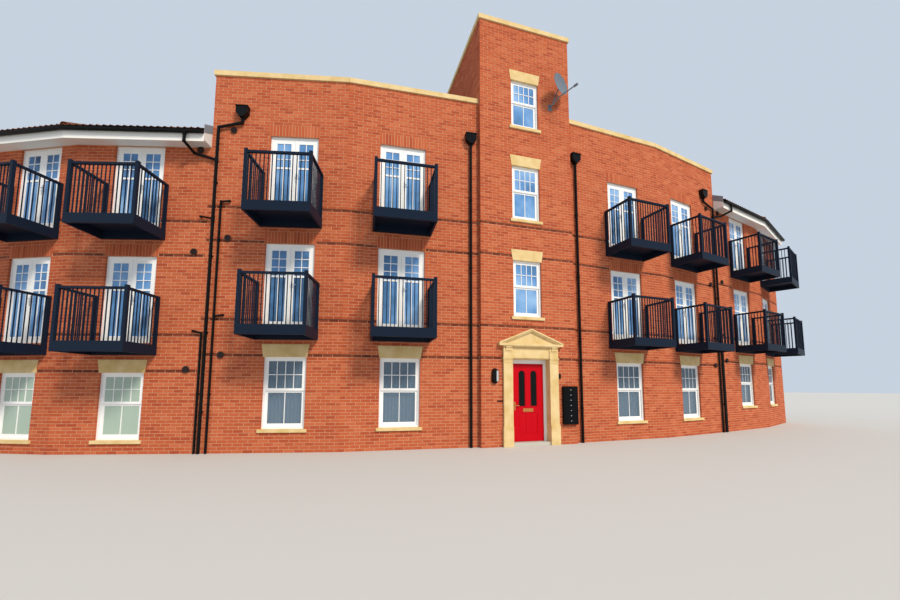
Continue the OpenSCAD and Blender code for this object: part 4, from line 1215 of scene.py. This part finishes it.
def half_round_shape(radius):
    """A half-round tile along its own x, open underneath."""
    steps = RIDGE_TILE_STEPS
    vertices, faces = [], []
    for end in (-0.5, 0.5):
        for reach in (radius, radius - RIDGE_TILE_THICKNESS):
            for step in range(steps + 1):
                angle = math.pi * step / steps
                across, level = reach * math.cos(angle), reach * math.sin(angle)
                vertices.append((end * RIDGE_TILE_LENGTH, across, level))
    row = steps + 1
    for step in range(steps):
        outer, inner = step, step + row
        faces.append([outer, outer + 1, outer + 1 + 2 * row, outer + 2 * row])
        faces.append([inner, inner + 2 * row, inner + 1 + 2 * row, inner + 1])
        faces.append([outer, inner, inner + 1, outer + 1])
        faces.append([v + 2 * row for v in (outer, outer + 1, inner + 1, inner)])
    for step in (0, steps):
        faces.append([step, step + 2 * row, step + 3 * row, step + row])
    return closed_shape("Half-round shape", vertices, faces)


def slope_tiles(bay, rear):
    """Rows for the tiles of one slope of a bay's roof, and the planes that end it."""
    plan, tiles = settings("plan"), settings("tiles")
    rise = math.tan(plan.roof_pitch)
    depth = plan.block_depth
    level_gauge = tiles.gauge * math.cos(plan.roof_pitch)
    count = math.ceil((depth / 2 + plan.eaves_reach) / level_gauge)
    turn = (plan.roof_pitch, 0.0, bay.turn() + (math.pi if rear else 0.0))
    widest = max(bay.length, bay.far_end(-plan.eaves_reach)) + plan.eaves_reach
    lowest = tiles.lap * math.cos(plan.roof_pitch) - tiles.oversail - plan.eaves_reach
    rows = []
    for row in range(count):
        out = lowest + row * level_gauge
        into = depth - out if rear else out
        level = plan.eaves_height + bay.lift + plan.roof_thickness + (out + plan.eaves_reach) * rise
        along = min(bay.near_end(into), 0.0) - tiles.cover
        while along < widest:
            rows.append(((*bay.place(along, into), level), turn, FULL_SIZE))
            along += tiles.cover
    outwards = Vector((*bay.direction(bay.along), 0))
    cuts = []
    for end_point, away in ((bay.near_point, -outwards), (bay.far_point, outwards)):
        start = end_point(0)
        line = (end_point(depth) - start).normalized()
        plane = Vector((line.y, -line.x, 0))
        if plane.dot(away) < 0:
            plane = -plane
        cuts.append((Vector((*start, 0)), plane))
    middle = bay.place(bay.length / 2, depth / 2)
    upwards = Vector((*bay.direction(bay.inwards), 0)) * (-1 if rear else 1)
    cuts.append((Vector((*middle, 0)), upwards))
    return rows, cuts


def line_of_tiles(start, end, length):
    """Rows for half-round tiles laid end to end between two points."""
    line = end - start
    count = max(1, round(line.length / length))
    turn = (0.0, -math.atan2(line.z, line.xy.length), math.atan2(line.y, line.x))
    return [(tuple(start + line * (number + 0.5) / count), turn, FULL_SIZE) for number in range(count)]


class BLOCK_OT_roof_tiles(Operator):
    """Tile the pitched roofs of both wings, with their hips and ridges"""

    bl_idname = "block.roof_tiles"
    bl_label = "Roof tiles"

    def execute(self, context):
        plan, tiles = settings("plan"), settings("tiles")
        material = tile_material()
        tile = tile_shape()
        ridge_tile = half_round_shape(tiles.ridge_radius)
        half, reach = plan.block_depth / 2, plan.eaves_reach
        climb = (half + reach) * math.tan(plan.roof_pitch)
        for side, side_name in SIDES.items():
            pieces, ridges = [], []
            for number in BAYS[MIDDLE_BAYS:]:
                bay = Bay(side, number)
                for rear in (False, True):
                    rows, cuts = slope_tiles(bay, rear)
                    seed = tiles.seed + number + 2 * rear
                    piece = set_out(f"tiles_{side_name}_{number}_{rear}", rows, tile, material, seed)
                    cut_ends(piece, cuts)
                    pieces.append(piece)
                base = plan.eaves_height + bay.lift + plan.roof_thickness - RIDGE_SINK
                start = Vector((*bay.near_point(half, RIDGE_END_GAP), base + climb))
                end = Vector((*bay.far_point(half, RIDGE_END_GAP), base + climb))
                ridges += line_of_tiles(start, end, RIDGE_TILE_LENGTH)
                if number == MIDDLE_BAYS:
                    foot = Vector((*bay.far_point(-reach), base))
                    ridges += line_of_tiles(foot, end, RIDGE_TILE_LENGTH)
            fit(join(f"roof_tiles_{side_name}", pieces))
            fit(set_out(f"ridge_tiles_{side_name}", ridges, ridge_tile, material, tiles.seed))
        bpy.data.objects.remove(tile)
        bpy.data.objects.remove(ridge_tile)
        return {"FINISHED"}


# Boards on the ends of the eaves: the front board's thickness, the play round them, and their faces' places
EAVES_BOARD = 0.026
END_BOARD_GAP = 0.004
END_BOARD_PLACES = (0.002, 0.014)
# The lead strips: how far up the wall they stand, and where their faces stand
FLASHING_HEIGHT = 0.14
FLASHING_PLACES = (-0.006, 0.006)


def end_outline(bay, outline, rear, at_far_end, place):
    """The points of an outline of reaches and levels, at a place inside one end of a bay's eaves."""
    points = []
    for out, level in outline:
        depth = settings("plan").block_depth + out if rear else -out
        point = bay.far_point(depth, place) if at_far_end else bay.near_point(depth, place)
        points.append((*point, level + bay.lift))
    return points


def end_boards():
    """Outlines of the boards that close the eaves boxes at both ends of each wing, front and rear."""
    plan = settings("plan")
    rise = math.tan(plan.roof_pitch)
    near, far = END_BOARD_GAP, plan.eaves_reach - EAVES_BOARD
    outline = [(out, plan.soffit_height + EAVES_BOARD) for out in (near, far)]
    for out in (far, near):
        outline.append((out, plan.eaves_height + (plan.eaves_reach - out) * rise - END_BOARD_GAP))
    pairs = []
    for side in SIDES:
        for number, at_far_end in ((MIDDLE_BAYS, False), (BAYS[-1], True)):
            bay = Bay(side, number)
            for rear in (False, True):
                pairs.append([end_outline(bay, outline, rear, at_far_end, place)
                              for place in END_BOARD_PLACES])
    return pairs


def flashings():
    """Outlines of the lead strips that follow the wing roofs where they meet the walls beside them."""
    plan = settings("plan")
    rise = math.tan(plan.roof_pitch)
    height = plan.roof_thickness + FLASHING_HEIGHT
    ridge = plan.eaves_height + (plan.block_depth / 2 + plan.eaves_reach) * rise
    line = [(-plan.eaves_reach, plan.eaves_height), (plan.block_depth / 2, ridge),
            (plan.block_depth + plan.eaves_reach, plan.eaves_height)]
    outline = line + [(depth, level + height) for depth, level in reversed(line)]
    pairs = []
    for side in SIDES:
        bay = Bay(side, MIDDLE_BAYS)
        pairs.append([[(*bay.near_point(depth, place), level + bay.lift) for depth, level in outline]
                      for place in FLASHING_PLACES])
    return pairs


class BLOCK_OT_eaves_ends(Operator):
    """Close the ends of the eaves boxes, and cover the joints between the wing roofs and the walls in lead"""

    bl_idname = "block.eaves_ends"
    bl_label = "Eaves ends"

    def execute(self, context):
        # The same foamed PVC as the eaves boards: a duller white
        white = finish_material("Foamed PVC end board", "#EDECE6", 0.45)
        fit(prisms("eaves_end_boards", end_boards(), white))
        # Milled lead sheet, weathered: grey and dull
        lead = finish_material("Weathered lead sheet", "#858B92", 0.7, Specular_IOR_Level=0.3)
        fit(prisms("lead_flashings", flashings(), lead))
        return {"FINISHED"}


# Post boxes, stage and panel


# The column of post boxes beside the entrance: their count, row height, foot, middle and front
POST_BOX_COUNT = 7
POST_BOX_ROW = 0.94 / POST_BOX_COUNT
POST_BOX_FOOT = 0.535
POST_BOX_MIDDLE = 1.12
POST_BOX_FRONT = 0.09
# Their number plates: width, thickness and height, and the figures' height and relief
PLATE_SIZE = (0.03, 0.002, 0.015)
NUMBER_HEIGHT = 0.011
NUMBER_RELIEF = 0.0005
# A figure's height as a share of its type's size
FIGURE_SHARE = 0.7


def number_mesh(number):
    """A plain number that stands upright and faces the front, with its middle at the origin."""
    curve = bpy.data.curves.new("Number", "FONT")
    curve.body = str(number)
    curve.size = NUMBER_HEIGHT / FIGURE_SHARE
    curve.align_x, curve.align_y = "CENTER", "CENTER"
    curve.extrude = NUMBER_RELIEF
    curve.resolution_u = 2
    holder = bpy.data.objects.new("Number", curve)
    bpy.context.scene.collection.objects.link(holder)
    mesh = bpy.data.meshes.new_from_object(holder.evaluated_get(bpy.context.evaluated_depsgraph_get()))
    bpy.data.objects.remove(holder)
    mesh.transform(Matrix.Rotation(math.pi / 2, 4, "X"))
    return mesh


class BLOCK_OT_post_box_numbers(Operator):
    """Put a small plate with a plain number on each post box"""

    bl_idname = "block.post_box_numbers"
    bl_label = "Post box numbers"

    def execute(self, context):
        front = -settings("plan").block_depth / 2 - POST_BOX_FRONT
        plate_depth = PLATE_SIZE[1]
        rows = []
        shape = bmesh.new()
        for number in range(1, POST_BOX_COUNT + 1):
            level = POST_BOX_FOOT + (POST_BOX_COUNT - number + 0.5) * POST_BOX_ROW
            rows.append(((POST_BOX_MIDDLE, front - plate_depth / 2, level), (0.0, 0.0, 0.0), PLATE_SIZE))
            mesh = number_mesh(number)
            mesh.transform(Matrix.Translation((POST_BOX_MIDDLE, front - plate_depth, level)))
            shape.from_mesh(mesh)
            bpy.data.meshes.remove(mesh)
        # Engraved plastic plates: light grey with black figures
        black = finish_material("Black engraving", "#101112", 0.5)
        grey = finish_material("Engraved grey plastic", "#A9AEB0", 0.4)
        fit(link_shape("post_box_numbers", shape, black))
        boxes("post_box_plates", rows, grey, "white_frame")
        return {"FINISHED"}


# The floor: how far it runs each way, and how far it lies under the block's foot
FLOOR_REACH = 150.0
FLOOR_GAP = 0.002


class BLOCK_OT_stage(Operator):
    """Set up the floor, the lights and the camera"""

    bl_idname = "block.stage"
    bl_label = "Stage"

    def execute(self, context):
        scene = context.scene
        mesh = bpy.data.meshes.new("Floor")
        corners = [(-1, -1), (1, -1), (1, 1), (-1, 1)]
        mesh.from_pydata([(x * FLOOR_REACH, y * FLOOR_REACH, 0) for x, y in corners], [], [(0, 1, 2, 3)])
        # A rolled paper floor: pale and matt
        floor = link_mesh("Floor", mesh, finish_material("Rolled studio paper", "#C6C4BF", 0.9))
        floor.location.z = -FLOOR_GAP

        world = bpy.data.worlds.new("Pale sky")
        world.use_nodes = True
        background = world.node_tree.nodes["Background"]
        background.inputs["Color"].default_value = linear("#DCE8F7")
        background.inputs["Strength"].default_value = 0.8
        scene.world = world
        scene.view_settings.view_transform = "Standard"
        light = bpy.data.lights.new("Soft sun", "SUN")
        light.energy = 3.2
        light.angle = math.radians(14)
        light.color = linear("#FFF4E4")[:3]
        sun = bpy.data.objects.new("Soft sun", light)
        sun.rotation_euler = (math.radians(48), 0, math.radians(22))
        # Soft light has no disc that glass or metal could mirror
        sun.visible_glossy = False
        scene.collection.objects.link(sun)

        view = settings("camera")
        lens = bpy.data.cameras.new("Camera")
        lens.sensor_width = 36
        lens.lens = view.focal_length
        lens.shift_x, lens.shift_y = view.shift
        lens.clip_end = 500
        camera = bpy.data.objects.new("Camera", lens)
        camera.location = view.place
        camera.rotation_euler = (math.pi / 2 + view.pitch, 0, -view.turn)
        scene.collection.objects.link(camera)
        scene.camera = camera
        return {"FINISHED"}


class BLOCK_PT_panel(Panel):
    """Buttons for the parts of the block, in the sidebar"""

    bl_label = "Apartment Block"
    bl_space_type = "VIEW_3D"
    bl_region_type = "UI"
    bl_category = "Apartment Block"

    def draw(self, context):
        for operator in OPERATORS:
            self.layout.operator(operator.bl_idname)


GROUPS = {
    "plan": PlanSettings,
    "openings": OpeningSettings,
    "bricks": BrickSettings,
    "tiles": TileSettings,
    "camera": CameraSettings,
}
OPERATORS = (
    BLOCK_OT_finish_solids,
    BLOCK_OT_brickwork,
    BLOCK_OT_window_bars,
    BLOCK_OT_curtains,
    BLOCK_OT_roof_tiles,
    BLOCK_OT_eaves_ends,
    BLOCK_OT_post_box_numbers,
    BLOCK_OT_stage,
)


def register():
    for group in GROUPS.values():
        bpy.utils.register_class(group)
    for name, group in GROUPS.items():
        setattr(bpy.types.Scene, "block_" + name, PointerProperty(type=group))
    for kind in (*OPERATORS, BLOCK_PT_panel):
        bpy.utils.register_class(kind)


def unregister():
    for kind in (BLOCK_PT_panel, *reversed(OPERATORS)):
        bpy.utils.unregister_class(kind)
    for name, group in GROUPS.items():
        delattr(bpy.types.Scene, "block_" + name)
        bpy.utils.unregister_class(group)


def main():
    register()
    for operator in OPERATORS:
        group, name = operator.bl_idname.split(".")
        getattr(getattr(bpy.ops, group), name)()


if __name__ == "__main__":
    main()
